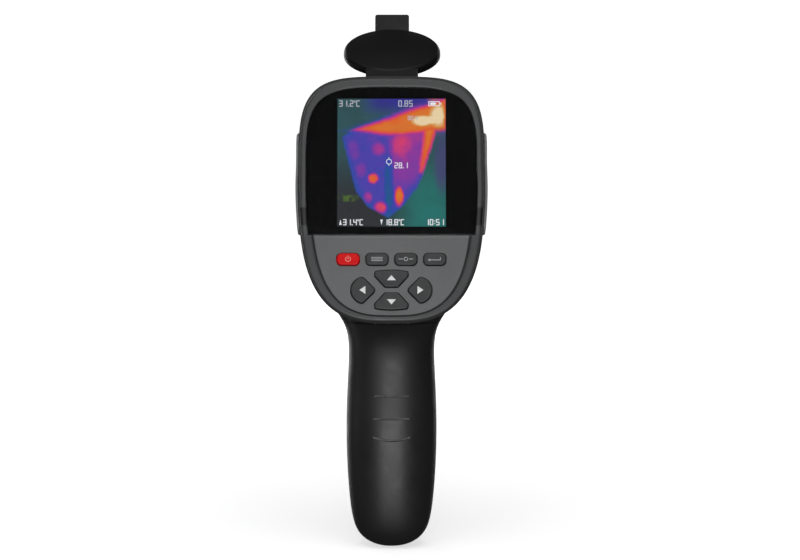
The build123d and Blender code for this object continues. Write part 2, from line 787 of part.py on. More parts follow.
def sensor_housing():
    """Detector block with its shutter aperture and three spacer posts."""
    block = box(-14, 14, 44, CORE_FRONT_Y, CORE_Z - 8.4, CORE_Z + 12)
    block = fillet(block.edges().filter_by(Axis.Y), 1.5)
    block += box(-8.5, 8.5, 56, CORE_FRONT_Y, CORE_Z - 18, CORE_Z - 8)
    pocket = DETECTOR_HALF + 0.15
    block -= box(-pocket, pocket, 43, DETECTOR_FRONT_Y, CORE_Z - pocket, CORE_Z + pocket)
    block -= rod_y(0, CORE_Z, 5.0, DETECTOR_FRONT_Y - 1, CORE_FRONT_Y + 1)
    block -= rod_y(0, SHUTTER_Z, MOTOR_RADIUS + 0.05, 50, CORE_FRONT_Y + 1)
    for x, z in ((-11.5, CORE_Z + 9.5), (11.5, CORE_Z + 9.5), (11.5, CORE_Z - 6)):
        block += rod_y(x, z, 1.6, CORE_FRONT_Y - 1, BARREL_BACK_Y)
    return block


def detector():
    """Infrared detector chip in its package."""
    half = DETECTOR_HALF
    return box(-half, half, DETECTOR_BACK_Y, DETECTOR_FRONT_Y, CORE_Z - half, CORE_Z + half)


def shutter_motor():
    """Motor with the short shaft that turns the shutter."""
    body = rod_y(0, SHUTTER_Z, MOTOR_RADIUS, 47, CORE_FRONT_Y)
    return body + rod_y(0, SHUTTER_Z, 0.8, CORE_FRONT_Y - 1, 62.2)


def shutter_blade():
    """Thin paddle on the motor shaft, parked at the left of the aperture."""
    front_y = 61.5
    back_y = 61.0
    blade = rod_y(0, CORE_Z, 6.3, back_y, front_y)
    blade += box(-1.8, 1.8, back_y, front_y, SHUTTER_Z, CORE_Z - 5)
    blade += rod_y(0, SHUTTER_Z, 2.4, back_y - 0.4, front_y + 0.5)
    blade -= rod_y(0, SHUTTER_Z, 0.85, back_y - 1, front_y + 1)
    axis = Axis((0, 0, SHUTTER_Z), (0, 1, 0))
    return blade.rotate(axis, -60)


def lens_barrel():
    """Metal tube that carries the infrared lens."""
    barrel = rod_y(0, CORE_Z, LENS_BARREL_RADIUS, 63, 78.2)
    barrel += rod_y(0, CORE_Z, 15.0, BARREL_BACK_Y, BARREL_BACK_Y + 2)
    barrel -= rod_y(0, CORE_Z, 8.4, 60, LENS_BACK_Y)
    return barrel - rod_y(0, CORE_Z, LENS_RADIUS, LENS_BACK_Y, 80)


def infrared_lens():
    """Germanium lens, bulging forwards."""
    dome_radius = 22.0
    crown_y = 77.0
    ball = Pos(0, crown_y - dome_radius, CORE_Z) * Sphere(dome_radius)
    return rod_y(0, CORE_Z, LENS_RADIUS, LENS_BACK_Y, crown_y + 1) & ball


def lens_ring():
    """Threaded ring that keeps the lens in its barrel."""
    return rod_y(0, CORE_Z, LENS_RADIUS, 75.6, 77.6) - rod_y(0, CORE_Z, 9.2, 70, 80)


def core_mount():
    """Ring plate that carries the lens barrel in the nose."""
    back_y = BARREL_BACK_Y + 2
    ring = rod_y(0, NOSE_Z, BARREL_RADIUS - WALL, back_y, back_y + 2)
    return ring - rod_y(0, CORE_Z, LENS_BARREL_RADIUS, 60, 70)


VISIBLE_Z = 205.2
VISIBLE_GLASS_RADIUS = 3.2
VISIBLE_GLASS_Y = 75.3


def visible_camera():
    """Small daylight camera above the infrared lens."""
    body = box(-4.2, 4.2, 66.6, 71, VISIBLE_Z - 4, VISIBLE_Z + 4)
    return body + rod_y(0, VISIBLE_Z, 2.9, 70, 75)


def camera_window():
    """Clear disc in front of the daylight camera."""
    return rod_y(0, VISIBLE_Z, VISIBLE_GLASS_RADIUS, VISIBLE_GLASS_Y, 76.6)


def nose_plate():
    """Front plate of the nose with the two lens openings."""
    plate = rod_y(0, NOSE_Z, 19.4, 74.0, 76.9) + rod_y(0, NOSE_Z, 21.4, 73.4, 75.9)
    plate -= rod_y(0, CORE_Z, LENS_BARREL_RADIUS + 0.3, 70, 80)
    plate -= rod_y(0, VISIBLE_Z, VISIBLE_GLASS_RADIUS, VISIBLE_GLASS_Y, 80)
    return plate - rod_y(0, VISIBLE_Z, 3.1, 70, 80)


# --- lens cover ---------------------------------------------------------------
def hinge_axis():
    """Axis of the lens cover's pin."""
    return Axis((0, HINGE_Y, HINGE_Z), (1, 0, 0))


def lens_cover():
    """Domed round cover, shut over the rim, then swung open about its hinge."""
    back_y = RIM_START_Y + 0.3
    outer = NOSE_RADIUS + 0.2
    edge_y = COVER_FACE_Y - COVER_RISE
    dome_radius = (outer ** 2 + COVER_RISE ** 2) / (2 * COVER_RISE)
    ball = Pos(0, COVER_FACE_Y - dome_radius, NOSE_Z) * Sphere(dome_radius)
    disc = rod_y(0, NOSE_Z, outer, back_y, COVER_FACE_Y + 1) & ball
    front = [e for e in disc.edges() if abs(e.position_at(0.5).Y - edge_y) < 0.1]
    disc = fillet(front, 2.3)
    knuckle = rod_x(HINGE_Y, HINGE_Z, 2.2, -KNUCKLE_HALF_WIDTH, KNUCKLE_HALF_WIDTH)
    neck_z = NOSE_Z + outer
    web_corners = [
        (HINGE_Y, HINGE_Z + 2.2),
        (HINGE_Y + 2.6, HINGE_Z + 1.6),
        (edge_y + 0.1, neck_z - 3.0),
        (edge_y + 0.1, neck_z - 8.0),
        (back_y + 2.2, neck_z - 8.0),
        (back_y + 0.4, neck_z + 0.2),
    ]
    web = side_profile(web_corners, KNUCKLE_HALF_WIDTH)
    cover = disc + cover_tab() + web + knuckle
    cover -= rod_y(0, NOSE_Z, RIM_RADIUS + 0.5, back_y - 1, NOSE_END_Y + 0.4)
    cover -= rod_x(HINGE_Y, HINGE_Z, PIN_RADIUS + 0.05, -20, 20)
    return cover.rotate(hinge_axis(), COVER_OPEN)


def cover_tab():
    """Thumb tab opposite the hinge, flared away from the nose."""
    length = 10.1
    width = 17.2
    thickness = 2.2
    flare = 35.0
    plate = Box(width, thickness, length, align=(Align.CENTER, Align.CENTER, Align.MAX))
    corners = plate.edges().filter_by(Axis.Y).sort_by(Axis.Z)[:2]
    plate = fillet(corners, 1.2)
    return Pos(0, 79.6, NOSE_Z - NOSE_RADIUS + 1.8) * Rot(flare, 0, 0) * plate


def cover_seal():
    """Felt ring inside the cover."""
    floor_y = NOSE_END_Y + 0.4
    ring = rod_y(0, NOSE_Z, RIM_RADIUS + 0.1, NOSE_END_Y + 0.05, floor_y)
    ring -= rod_y(0, NOSE_Z, 19.0, 70, 90)
    return ring.rotate(hinge_axis(), COVER_OPEN)


def cover_pin():
    """Steel pin through the lugs and the cover's knuckle."""
    half_length = LUG_OUTER_X - 0.4
    return rod_x(HINGE_Y, HINGE_Z, PIN_RADIUS, -half_length, half_length)


# --- trigger ------------------------------------------------------------------
def trigger():
    """Curved finger lever that hangs from a pin at its upper end."""
    y, z = TRIGGER_PIVOT
    top = z + 3.5
    tip_z = 78.0
    blade = make_face([
        ThreePointArc((33.0, top), (33.4, 92.5), (36.0, tip_z)),
        Line((36.0, tip_z), (32.4, tip_z)),
        ThreePointArc((32.4, tip_z), (29.4, 89.5), (28.0, z - 3)),
        Line((28.0, z - 3), (y - 2, z - 1)),
        Line((y - 2, z - 1), (y - 2, top)),
        Line((y - 2, top), (33.0, top)),
    ])
    blade = fillet([v for v in blade.vertices() if v.Y < tip_z + 1], 1.5)
    lever = extrude(Plane.YZ * blade, amount=TRIGGER_HALF_WIDTH, both=True)
    side_edges = [e for e in lever.edges() if abs(e.position_at(0.5).X) > 7]
    lever = fillet([e for e in side_edges if e.position_at(0.5).Y > 31], 1.4)
    return lever - rod_x(y, z, TRIGGER_PIN_RADIUS + 0.05, -20, 20)


def trigger_pin():
    """Pin that the trigger hangs from."""
    y, z = TRIGGER_PIVOT
    return rod_x(y, z, TRIGGER_PIN_RADIUS, -10.8, 10.8)


SWITCH_Z = 91.0
SWITCH_BACK_Y = 19.0


def trigger_switch():
    """Microswitch behind the trigger, with its plunger."""
    front_y = SWITCH_BACK_Y + 7
    body = box(-3.2, 3.2, SWITCH_BACK_Y, front_y, SWITCH_Z - 3, SWITCH_Z + 3)
    return body + rod_y(0, SWITCH_Z, 0.9, front_y - 1, front_y + 1.1)


def switch_bracket():
    """Small plate across the handle that holds the microswitch."""
    plate = box(-14, 14, SWITCH_BACK_Y - 1.4, SWITCH_BACK_Y, SWITCH_Z - 4.5, SWITCH_Z + 4.5)
    return plate & handle_inner


def trigger_spring():
    """Coil spring between the switch bracket and the trigger."""
    radius = 1.8
    wire = 0.3
    path = Helix(pitch=1.7, height=9.2, radius=radius)
    start = path.position_at(0)
    profile = Plane(origin=start, z_dir=path.tangent_at(0)) * Circle(wire)
    coil = sweep(profile, path=path)
    return Pos(5.4, SWITCH_BACK_Y + 0.4, SWITCH_Z) * Rot(-90, 0, 0) * coil


# --- battery and base ---------------------------------------------------------
BATTERY_TOP_Z = BATTERY_LOW_Z + BATTERY_LENGTH
BUTTON_HEIGHT = 1.2


def battery_cell():
    """Round lithium cell with its button."""
    cell = rod_z(0, BATTERY_Y, BATTERY_RADIUS, BATTERY_LOW_Z, BATTERY_TOP_Z)
    cell = fillet(cell.edges().filter_by(GeomType.CIRCLE), 0.8)
    return cell + rod_z(0, BATTERY_Y, 3.0, BATTERY_TOP_Z - 1, BATTERY_TOP_Z + BUTTON_HEIGHT)


def contact_leaf():
    """Spring leaf on the battery's upper end."""
    low = BATTERY_TOP_Z + BUTTON_HEIGHT
    leaf = box(-4, 4, BATTERY_Y - 5, BATTERY_Y + 5, low, low + 0.5)
    return leaf + box(-4, 4, BATTERY_Y + 4.5, BATTERY_Y + 5, low, low + 4)


HOLDER_LOW_Z = BUSH_LENGTH + 2.1
HOLDER_HIGH_Z = BUSH_LENGTH + 3.2


def contact_spring():
    """Coil under the battery."""
    wire = 0.4
    low = HOLDER_HIGH_Z + wire
    rings = []
    for turn in range(2):
        ring = Torus(4.2 - turn, wire)
        rings.append(Pos(0, BATTERY_Y, low + 0.8 * turn) * ring)
    post = box(-wire, wire, BATTERY_Y + 2.8, BATTERY_Y + 4.6, low - 0.25, low + 1.05)
    return rings[0] + rings[1] + post


def contact_holder():
    """Plate across the handle under the battery."""
    plate = box(-15, 15, -12, 15, HOLDER_LOW_Z, HOLDER_HIGH_Z)
    plate &= handle_body(WALL + 0.15)
    for x, z in HANDLE_SCREWS:
        plate -= both_sides(rod_y(x, z, 3.6, -30, 40))
    return plate


def tripod_bush():
    """Threaded brass insert: 1/4 inch camera thread, drawn as a plain bore."""
    groove = 0.8
    bush = rod_z(0, 0, BUSH_RADIUS, 0, BUSH_LENGTH)
    for z in (2.4, 6.0):
        outside = rod_z(0, 0, BUSH_RADIUS + 1, z, z + groove)
        bush -= outside - rod_z(0, 0, BUSH_RADIUS - 0.5, z - 1, z + 2)
    return bush - rod_z(0, 0, BUSH_BORE, -1, BUSH_LENGTH - 1)


def battery_door():
    """Lift-off door in the front of the handle."""
    half = DOOR_HALF_WIDTH
    block = box(-half, half, 12, FAR, DOOR_LOW_Z, DOOR_HIGH_Z)
    door = (handle_outer - handle_body(2.0)) & block
    rib = box(-1, 1, 18, 30, DOOR_LOW_Z + 3, DOOR_HIGH_Z - 12) & handle_body(1.0)
    door += rib
    for z in (25.0, 28.0, 31.0):
        door -= rod_x(handle_surface_y(z, FRONT) + 0.45, z, 0.9, -7, 7)
    door -= rod_y(0, DOOR_SCREW_Z, 1.6, 0, FAR)
    return door - rod_y(0, DOOR_SCREW_Z, 2.7, door_screw_seat_y(), FAR)


def door_screw_seat_y():
    """Where the head of the door screw sits."""
    return handle_surface_y(DOOR_SCREW_Z, FRONT) - 1.2


def door_screw():
    """Captive coin-slot screw in the battery door."""
    z = DOOR_SCREW_Z
    seat = door_screw_seat_y()
    screw = rod_y(0, z, 2.5, seat, seat + 1.1) + rod_y(0, z, 1.5, seat - 4.5, seat + 0.2)
    return screw - box(-0.4, 0.4, seat + 0.5, FAR, z - 3, z + 3)


def handle_screws():
    """Cross-head screws that join the two handle shells."""
    arm = 1.4
    half_slot = 0.3
    screws = []
    for x, z in HANDLE_SCREWS:
        seat = screw_seat_y(z)
        for side in (-1, 1):
            mid = side * x
            shaft = rod_y(mid, z, HANDLE_SCREW_RADIUS, split_y(z) - 7, seat + 0.5)
            head = rod_y(mid, z, HANDLE_SCREW_HEAD, seat, seat + 1.6)
            cross = box(mid - arm, mid + arm, seat + 1, seat + 3, z - half_slot, z + half_slot)
            cross += box(mid - half_slot, mid + half_slot, seat + 1, seat + 3, z - arm, z + arm)
            screws.append(shaft + head - cross)
    return Compound(screws)


# --- side pads and port -------------------------------------------------------
PAD_GAP = 0.22


def side_pad():
    """Raised pad on the right side of the head, with rounded corners."""
    low, high, front, back = 145.5, 193.2, 8.5, 32.0
    rise = 1.3
    corners = [(face_y(low, front), low), (back, low), (back, high), (face_y(high, front), high)]
    flat = rounded_polygon(corners, 5.0)
    pad = extrude(Plane.YZ * flat, amount=FAR) & outline(-rise, -rise, -rise)
    pad &= box(30, FAR, -20, back + 1, low - 1, high + 1)
    rim = [e for e in pad.edges() if e.position_at(0.5).X > 42.5]
    pad = fillet(rim, 0.8)
    return pad - head_body(-PAD_GAP)


def port_flap():
    """Rubber flap over the data port in the top of the head."""
    x_min, x_max, y_min, y_max = FLAP_BOX
    hinge_y, hinge_z = FLAP_HINGE
    flap = (head_outer - head_body(1.5)) & box(x_min, x_max, y_min, y_max, 200, 230)
    return flap + rod_x(hinge_y, hinge_z, FLAP_BEAD_RADIUS, x_min + 0.5, x_max - 0.5)


USB_TOP_Z = 213.4


def usb_connector():
    """Data connector under the flap."""
    shell = box(-4.0, 4.0, 29.6, 32.6, USB_TOP_Z - 6, USB_TOP_Z)
    return shell - box(-3.5, 3.5, 30.1, 32.1, USB_TOP_Z - 4, USB_TOP_Z + 1)


def usb_board():
    """Small board that carries the data connector."""
    return box(-9, 9, 26.0, 36.5, USB_TOP_Z - 7.2, USB_TOP_Z - 6)


def battery_wires():
    """Two insulated leads from the battery contacts to the main board."""
    wires = []
    for x in (-3.0, 3.0):
        points = [(x, 12.5, 85), (x, 13.0, 110), (x, 14.5, 135), (x, 12.4, 150.5)]
        path = FilletPolyline(*points, radius=8)
        profile = Plane(origin=points[0], z_dir=path.tangent_at(0)) * Circle(0.7)
        wires.append(sweep(profile, path=path))
    return Compound(wires)


# --- write every sub-part ---------------------------------------------------
save("front_housing", front_housing())
save("handle_rear_shell", handle_rear_shell())
save("bezel", bezel())
pad = side_pad()
save("right_side_pad", pad)
save("left_side_pad", mirror(pad, about=Plane.YZ))
save("display_window", display_window())
save("window_mask", window_mask())
save("display_gasket", display_gasket())
save("display_module", display_module())
save("keypad_panel", keypad_panel())
for key_name, key_shape in KEYS.items():
    save(key_name, key_cap(key_shape))
save("keypad_membrane", keypad_membrane())
save("key_domes", key_domes())
save("key_board", key_board())
save("inner_frame", inner_frame())
save("frame_screws", frame_screws())
save("main_board", main_board())
save("board_standoffs", board_standoffs())
save("board_screws", board_screws())
save("board_chips", board_chips())
save("shield_can", shield_can())
save("display_flex", display_flex())
save("sensor_housing", sensor_housing())
save("detector", detector())
save("shutter_motor", shutter_motor())
save("shutter_blade", shutter_blade())
save("lens_barrel", lens_barrel())
save("infrared_lens", infrared_lens())
save("lens_ring", lens_ring())
save("core_mount", core_mount())
save("visible_camera", visible_camera())
save("camera_window", camera_window())
save("nose_plate", nose_plate())
save("lens_cover", lens_cover())
save("cover_seal", cover_seal())
save("cover_pin", cover_pin())
save("trigger", trigger())
save("trigger_pin", trigger_pin())
save("trigger_switch", trigger_switch())
save("switch_bracket", switch_bracket())
save("trigger_spring", trigger_spring())
save("battery_cell", battery_cell())
save("contact_leaf", contact_leaf())
save("contact_spring", contact_spring())
save("contact_holder", contact_holder())
save("tripod_bush", tripod_bush())
save("battery_door", battery_door())
save("door_screw", door_screw())
save("handle_screws", handle_screws())
save("port_flap", port_flap())
save("usb_connector", usb_connector())
save("usb_board", usb_board())
save("battery_wires", battery_wires())
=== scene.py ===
"""Thermal imaging camera: looks, picture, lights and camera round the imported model."""

import json
import math

import bpy
from mathutils import Matrix, Vector


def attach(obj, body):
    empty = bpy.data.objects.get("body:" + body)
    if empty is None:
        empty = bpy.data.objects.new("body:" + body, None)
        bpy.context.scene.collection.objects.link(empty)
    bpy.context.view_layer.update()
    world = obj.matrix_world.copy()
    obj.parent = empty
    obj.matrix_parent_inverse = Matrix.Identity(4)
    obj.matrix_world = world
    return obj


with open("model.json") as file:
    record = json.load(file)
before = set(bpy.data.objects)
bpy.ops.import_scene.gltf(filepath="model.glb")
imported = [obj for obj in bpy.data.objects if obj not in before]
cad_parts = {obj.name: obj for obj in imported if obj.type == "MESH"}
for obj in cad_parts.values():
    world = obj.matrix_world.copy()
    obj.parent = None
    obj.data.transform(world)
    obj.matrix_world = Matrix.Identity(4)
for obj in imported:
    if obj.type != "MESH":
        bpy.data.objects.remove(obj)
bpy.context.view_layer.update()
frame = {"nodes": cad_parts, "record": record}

MM = 0.001
SCREEN_TILT = math.radians(14)
KEYPAD_TILT = math.radians(20)
BEND_Z = 147.0               # the display face and the keypad face meet at this height
BEND = Vector((0, -5 * MM, BEND_Z * MM))


# --- colours and node graphs ------------------------------------------------
def srgb(red, green, blue):
    """Linear colour of a screen colour given in 0-255."""
    linear = []
    for value in (red, green, blue):
        share = value / 255
        linear.append(share / 12.92 if share <= 0.04045 else ((share + 0.055) / 1.055) ** 2.4)
    return (*linear, 1.0)


def shaded(colour, factor):
    """The colour made lighter or darker."""
    return tuple(min(1.0, channel * factor) for channel in colour[:3]) + (1.0,)


class Graph:
    """A material and short ways to add nodes to it. Lengths are in millimetres."""

    def __init__(self, name):
        self.material = bpy.data.materials.new(name)
        self.material.use_nodes = True
        self.tree = self.material.node_tree
        self.tree.nodes.clear()
        self.shader = self.add("ShaderNodeBsdfPrincipled")
        output = self.add("ShaderNodeOutputMaterial")
        self.tree.links.new(self.shader.outputs["BSDF"], output.inputs["Surface"])
        self.place = self.add("ShaderNodeTexCoord").outputs["Object"]

    def add(self, kind, **settings):
        """New node with some of its settings."""
        node = self.tree.nodes.new(kind)
        for key, value in settings.items():
            setattr(node, key, value)
        return node

    def put(self, value, socket):
        """Set a socket to a number or colour, or link an output to it."""
        if isinstance(value, bpy.types.NodeSocket):
            self.tree.links.new(value, socket)
        else:
            socket.default_value = value

    def set(self, **sockets):
        """Plain values on the shader, with _ for a space in the socket's name."""
        for name, value in sockets.items():
            self.put(value, self.shader.inputs[name.replace("_", " ")])

    def math(self, operation, first, second=0.0):
        """Output of a Math node."""
        node = self.add("ShaderNodeMath", operation=operation)
        self.put(first, node.inputs[0])
        self.put(second, node.inputs[1])
        return node.outputs[0]

    def spread(self, value, low, high, out_low=0.0, out_high=1.0, kind="LINEAR"):
        """Map low..high to out_low..out_high, held at the ends."""
        node = self.add("ShaderNodeMapRange", interpolation_type=kind)
        for index, number in enumerate((value, low, high, out_low, out_high)):
            self.put(number, node.inputs[index])
        return node.outputs[0]

    def stretched(self, stretch, shift=0.0):
        """Coordinates squeezed so that a pattern runs along one direction."""
        node = self.add("ShaderNodeMapping")
        self.put(self.place, node.inputs["Vector"])
        node.inputs["Scale"].default_value = stretch
        node.inputs["Location"].default_value = (shift, shift, shift)
        return node.outputs[0]

    def noise(self, size, detail=3.0, rough=0.55, stretch=(1, 1, 1), shift=0.0):
        node = self.add("ShaderNodeTexNoise")
        self.put(self.stretched(stretch, shift), node.inputs["Vector"])
        node.inputs["Scale"].default_value = 1000 / size
        node.inputs["Detail"].default_value = detail
        node.inputs["Roughness"].default_value = rough
        return node.outputs["Fac"]

    def cells(self, size, feature="F1", stretch=(1, 1, 1)):
        node = self.add("ShaderNodeTexVoronoi", feature=feature)
        self.put(self.stretched(stretch), node.inputs["Vector"])
        node.inputs["Scale"].default_value = 1000 / size
        return node.outputs["Distance"]

    def mix(self, share, first, second, blend="MIX"):
        node = self.add("ShaderNodeMix", data_type="RGBA", blend_type=blend)
        self.put(share, node.inputs[0])
        self.put(first, node.inputs[6])
        self.put(second, node.inputs[7])
        return node.outputs[2]

    def ramp(self, value, stops):
        node = self.add("ShaderNodeValToRGB")
        elements = node.color_ramp.elements
        while len(elements) < len(stops):
            elements.new(0.5)
        for element, (position, colour) in zip(elements, stops):
            element.position = position
            element.color = colour
        self.put(value, node.inputs[0])
        return node.outputs[0]

    def rounded(self, radius):
        """Normal as if every edge were rounded by radius, and how near an edge is."""
        bevel = self.add("ShaderNodeBevel", samples=4)
        bevel.inputs["Radius"].default_value = radius * MM
        true_normal = self.add("ShaderNodeNewGeometry").outputs["Normal"]
        dot = self.add("ShaderNodeVectorMath", operation="DOT_PRODUCT")
        self.put(bevel.outputs[0], dot.inputs[0])
        self.put(true_normal, dot.inputs[1])
        near = self.spread(dot.outputs["Value"], 0.995, 0.86)
        return bevel.outputs[0], near

    def bump(self, height, depth, normal=None):
        """Shape the surface by a height from 0 to 1, depth millimetres deep."""
        node = self.add("ShaderNodeBump")
        node.inputs["Strength"].default_value = 1.0
        node.inputs["Distance"].default_value = depth * MM
        self.put(height, node.inputs["Height"])
        if normal is not None:
            self.put(normal, node.inputs["Normal"])
        return node.outputs[0]


# width of the soft edges and colour of the painted dark reflection, a black stripe painted on the
# bezel
PAINTED_REFLECTION_EDGE = 0.7
PAINTED_REFLECTION_BLACK = srgb(9, 9, 10)


def moulded(name, colour, rough, grain=0.035, grain_size=0.5, edge=0.25, wear=0.35,
            patches=0.10, band=None, **sockets):
    """Spark-eroded plastic: fine grain, faint patches, hand polish and paler edges.

    A band is painted black between two heights in millimetres, with soft edges: a painted dark
    reflection, not a colour of the plastic."""
    g = Graph(name)
    normal, near_edge = g.rounded(edge)
    cloud = g.noise(38, detail=4)
    fine = g.noise(grain_size, detail=2, rough=0.6)
    rub = g.spread(g.noise(9, detail=5, shift=3.1), 0.52, 0.68)
    streak = g.spread(g.noise(1.1, detail=2, stretch=(1, 1, 0.12), shift=7.7), 0.66, 0.72)
    worn = g.math("MULTIPLY", near_edge, g.spread(g.noise(3.5, detail=5, shift=1.3), 0.40, 0.62))
    body = g.mix(g.spread(cloud, 0.3, 0.7), shaded(colour, 1 - patches), shaded(colour, 1 + patches))
    body = g.mix(g.math("MULTIPLY", fine, 0.16), body, shaded(colour, 1.5))
    body = g.mix(g.math("MULTIPLY", streak, 0.07), body, shaded(colour, 2.6))
    body = g.mix(g.math("MULTIPLY", worn, wear), body, shaded(colour, 2.4))
    # painted dark reflection: a black stripe painted across the bezel between two heights
    if band:
        split = g.add("ShaderNodeSeparateXYZ")
        g.put(g.place, split.inputs[0])
        low, high = band
        height = split.outputs[2]
        above = g.spread(height, (low - PAINTED_REFLECTION_EDGE) * MM, low * MM, kind="SMOOTHSTEP")
        below = g.spread(height, high * MM, (high + PAINTED_REFLECTION_EDGE) * MM, 1.0, 0.0,
                         kind="SMOOTHSTEP")
        body = g.mix(g.math("MULTIPLY", above, below), body, PAINTED_REFLECTION_BLACK)
    gloss = g.spread(cloud, 0.3, 0.7, rough - 0.04, rough + 0.05)
    gloss = g.math("SUBTRACT", gloss, g.math("MULTIPLY", rub, 0.06))
    gloss = g.math("SUBTRACT", gloss, g.math("MULTIPLY", worn, 0.10))
    g.put(body, g.shader.inputs["Base Color"])
    g.put(gloss, g.shader.inputs["Roughness"])
    height = g.math("SUBTRACT", fine, g.math("MULTIPLY", streak, 0.3))
    g.put(g.bump(height, grain, normal), g.shader.inputs["Normal"])
    g.set(**sockets)
    return g.material


def rubber(name, colour, rough=0.62, grain=0.03, grain_size=0.28, edge=0.2, dusty=0.25,
           **sockets):
    """Moulded rubber: matt, dusty in patches, slightly shiny where it is touched."""
    g = Graph(name)
    normal, near_edge = g.rounded(edge)
    dust = g.spread(g.noise(6, detail=6, rough=0.7), 0.45, 0.75)
    fine = g.noise(grain_size, detail=3, rough=0.7)
    body = g.mix(g.math("MULTIPLY", dust, dusty), colour, shaded(colour, 1.7))
    body = g.mix(g.math("MULTIPLY", near_edge, 0.3), body, shaded(colour, 1.8))
    g.put(body, g.shader.inputs["Base Color"])
    g.put(g.spread(dust, 0, 1, rough - 0.08, rough + 0.1), g.shader.inputs["Roughness"])
    g.put(g.bump(fine, grain, normal), g.shader.inputs["Normal"])
    g.set(**sockets)
    return g.material


def metal(name, colour, rough=0.32, stretch=(1, 1, 0.08), lines=0.35, edge=0.12, tint=None,
          **sockets):
    """Machined or rolled metal: drawn lines, stains and bright edges."""
    g = Graph(name)
    normal, near_edge = g.rounded(edge)
    line = g.noise(lines, detail=3, stretch=stretch)
    stain = g.spread(g.noise(4.5, detail=5, rough=0.65, shift=2.2), 0.42, 0.72)
    body = g.mix(g.math("MULTIPLY", stain, 0.45), colour, tint or shaded(colour, 0.6))
    body = g.mix(g.math("MULTIPLY", line, 0.2), body, shaded(colour, 1.25))
    body = g.mix(g.math("MULTIPLY", near_edge, 0.5), body, shaded(colour, 1.35))
    gloss = g.math("ADD", g.spread(line, 0.3, 0.7, rough - 0.07, rough + 0.07),
                   g.math("MULTIPLY", stain, 0.12))
    g.put(body, g.shader.inputs["Base Color"])
    g.put(gloss, g.shader.inputs["Roughness"])
    g.put(g.bump(line, 0.008, normal), g.shader.inputs["Normal"])
    g.set(Metallic=1.0, **sockets)
    return g.material


def circuit_board(name):
    """Green solder mask over copper tracks and pads."""
    g = Graph(name)
    normal, near_edge = g.rounded(0.1)
    mask = srgb(18, 74, 44)
    track = g.spread(g.cells(2.6, "DISTANCE_TO_EDGE", (1, 1, 1)), 0.035, 0.055, 1, 0)
    weave = g.noise(0.8, detail=2, stretch=(1, 1, 0.3))
    pad = g.spread(g.cells(3.4), 0.13, 0.16, 1, 0)
    body = g.mix(g.math("MULTIPLY", track, 0.65), mask, srgb(40, 112, 62))
    body = g.mix(g.math("MULTIPLY", weave, 0.2), body, shaded(mask, 0.6))
    body = g.mix(pad, body, srgb(196, 164, 84))
    body = g.mix(g.math("MULTIPLY", near_edge, 0.4), body, srgb(150, 140, 90))
    g.put(body, g.shader.inputs["Base Color"])
    g.put(g.math("MULTIPLY", pad, 0.9), g.shader.inputs["Metallic"])
    g.put(g.spread(weave, 0.3, 0.7, 0.28, 0.42), g.shader.inputs["Roughness"])
    g.put(g.bump(g.math("ADD", track, pad), 0.03, normal), g.shader.inputs["Normal"])
    return g.material


def porous(name, colour, cell, depth, rough=0.9, sheen=0.0):
    """Open foam or felt: small cells with recessed gaps, darkened with painted shade."""
    g = Graph(name)
    pore = g.cells(cell)
    tangle = g.noise(cell * 1.4, detail=5, rough=0.75)
    # painted shade: the recessed gaps between the cells are darkened
    body = g.mix(g.spread(pore, 0.2, 0.6), colour, shaded(colour, 0.45))
    body = g.mix(g.math("MULTIPLY", tangle, 0.3), body, shaded(colour, 1.8))
    g.put(body, g.shader.inputs["Base Color"])
    g.put(g.spread(tangle, 0.3, 0.7, rough - 0.08, rough + 0.06), g.shader.inputs["Roughness"])
    g.put(g.bump(g.math("SUBTRACT", tangle, pore), depth), g.shader.inputs["Normal"])
    g.set(Sheen_Weight=sheen)
    return g.material


def window_glass(name):
    """Clear cover sheet, with faint finger marks in its gloss."""
    g = Graph(name)
    marks = g.spread(g.noise(14, detail=5, rough=0.6), 0.5, 0.75)
    hair = g.spread(g.noise(0.6, detail=1, stretch=(1, 0.1, 0.04), shift=5.0), 0.70, 0.74)
    g.put(g.spread(g.math("ADD", marks, hair), 0, 1.5, 0.015, 0.03), g.shader.inputs["Roughness"])
    g.put(g.mix(marks, (0.95, 0.96, 0.97, 1), (0.92, 0.93, 0.95, 1)),
          g.shader.inputs["Base Color"])
    g.set(Transmission_Weight=1.0, IOR=1.45)
    return g.material


def printed_black(name):
    """Black printing ink on the back of the window."""
    g = Graph(name)
    speck = g.noise(0.4, detail=2)
    cloud = g.noise(25, detail=3)
    g.put(g.mix(g.spread(cloud, 0.3, 0.7), srgb(2, 2, 3), srgb(4, 4, 5)),
          g.shader.inputs["Base Color"])
    g.put(g.spread(speck, 0.3, 0.7, 0.38, 0.5), g.shader.inputs["Roughness"])
    g.put(g.bump(speck, 0.004), g.shader.inputs["Normal"])
    g.set(Specular_IOR_Level=0.05)
    return g.material


def coated_lens(name):
    """Germanium with its grey-blue anti-reflection coating."""
    g = Graph(name)
    haze = g.noise(7, detail=4)
    speck = g.spread(g.noise(0.5, detail=2), 0.62, 0.7)
    g.put(g.mix(g.spread(haze, 0.35, 0.65), srgb(64, 78, 92), srgb(96, 88, 104)),
          g.shader.inputs["Base Color"])
    g.put(g.math("ADD", g.spread(haze, 0.3, 0.7, 0.05, 0.10), g.math("MULTIPLY", speck, 0.1)),
          g.shader.inputs["Roughness"])
    g.set(Metallic=0.85, Coat_Weight=0.6, Coat_Roughness=0.05)
    return g.material


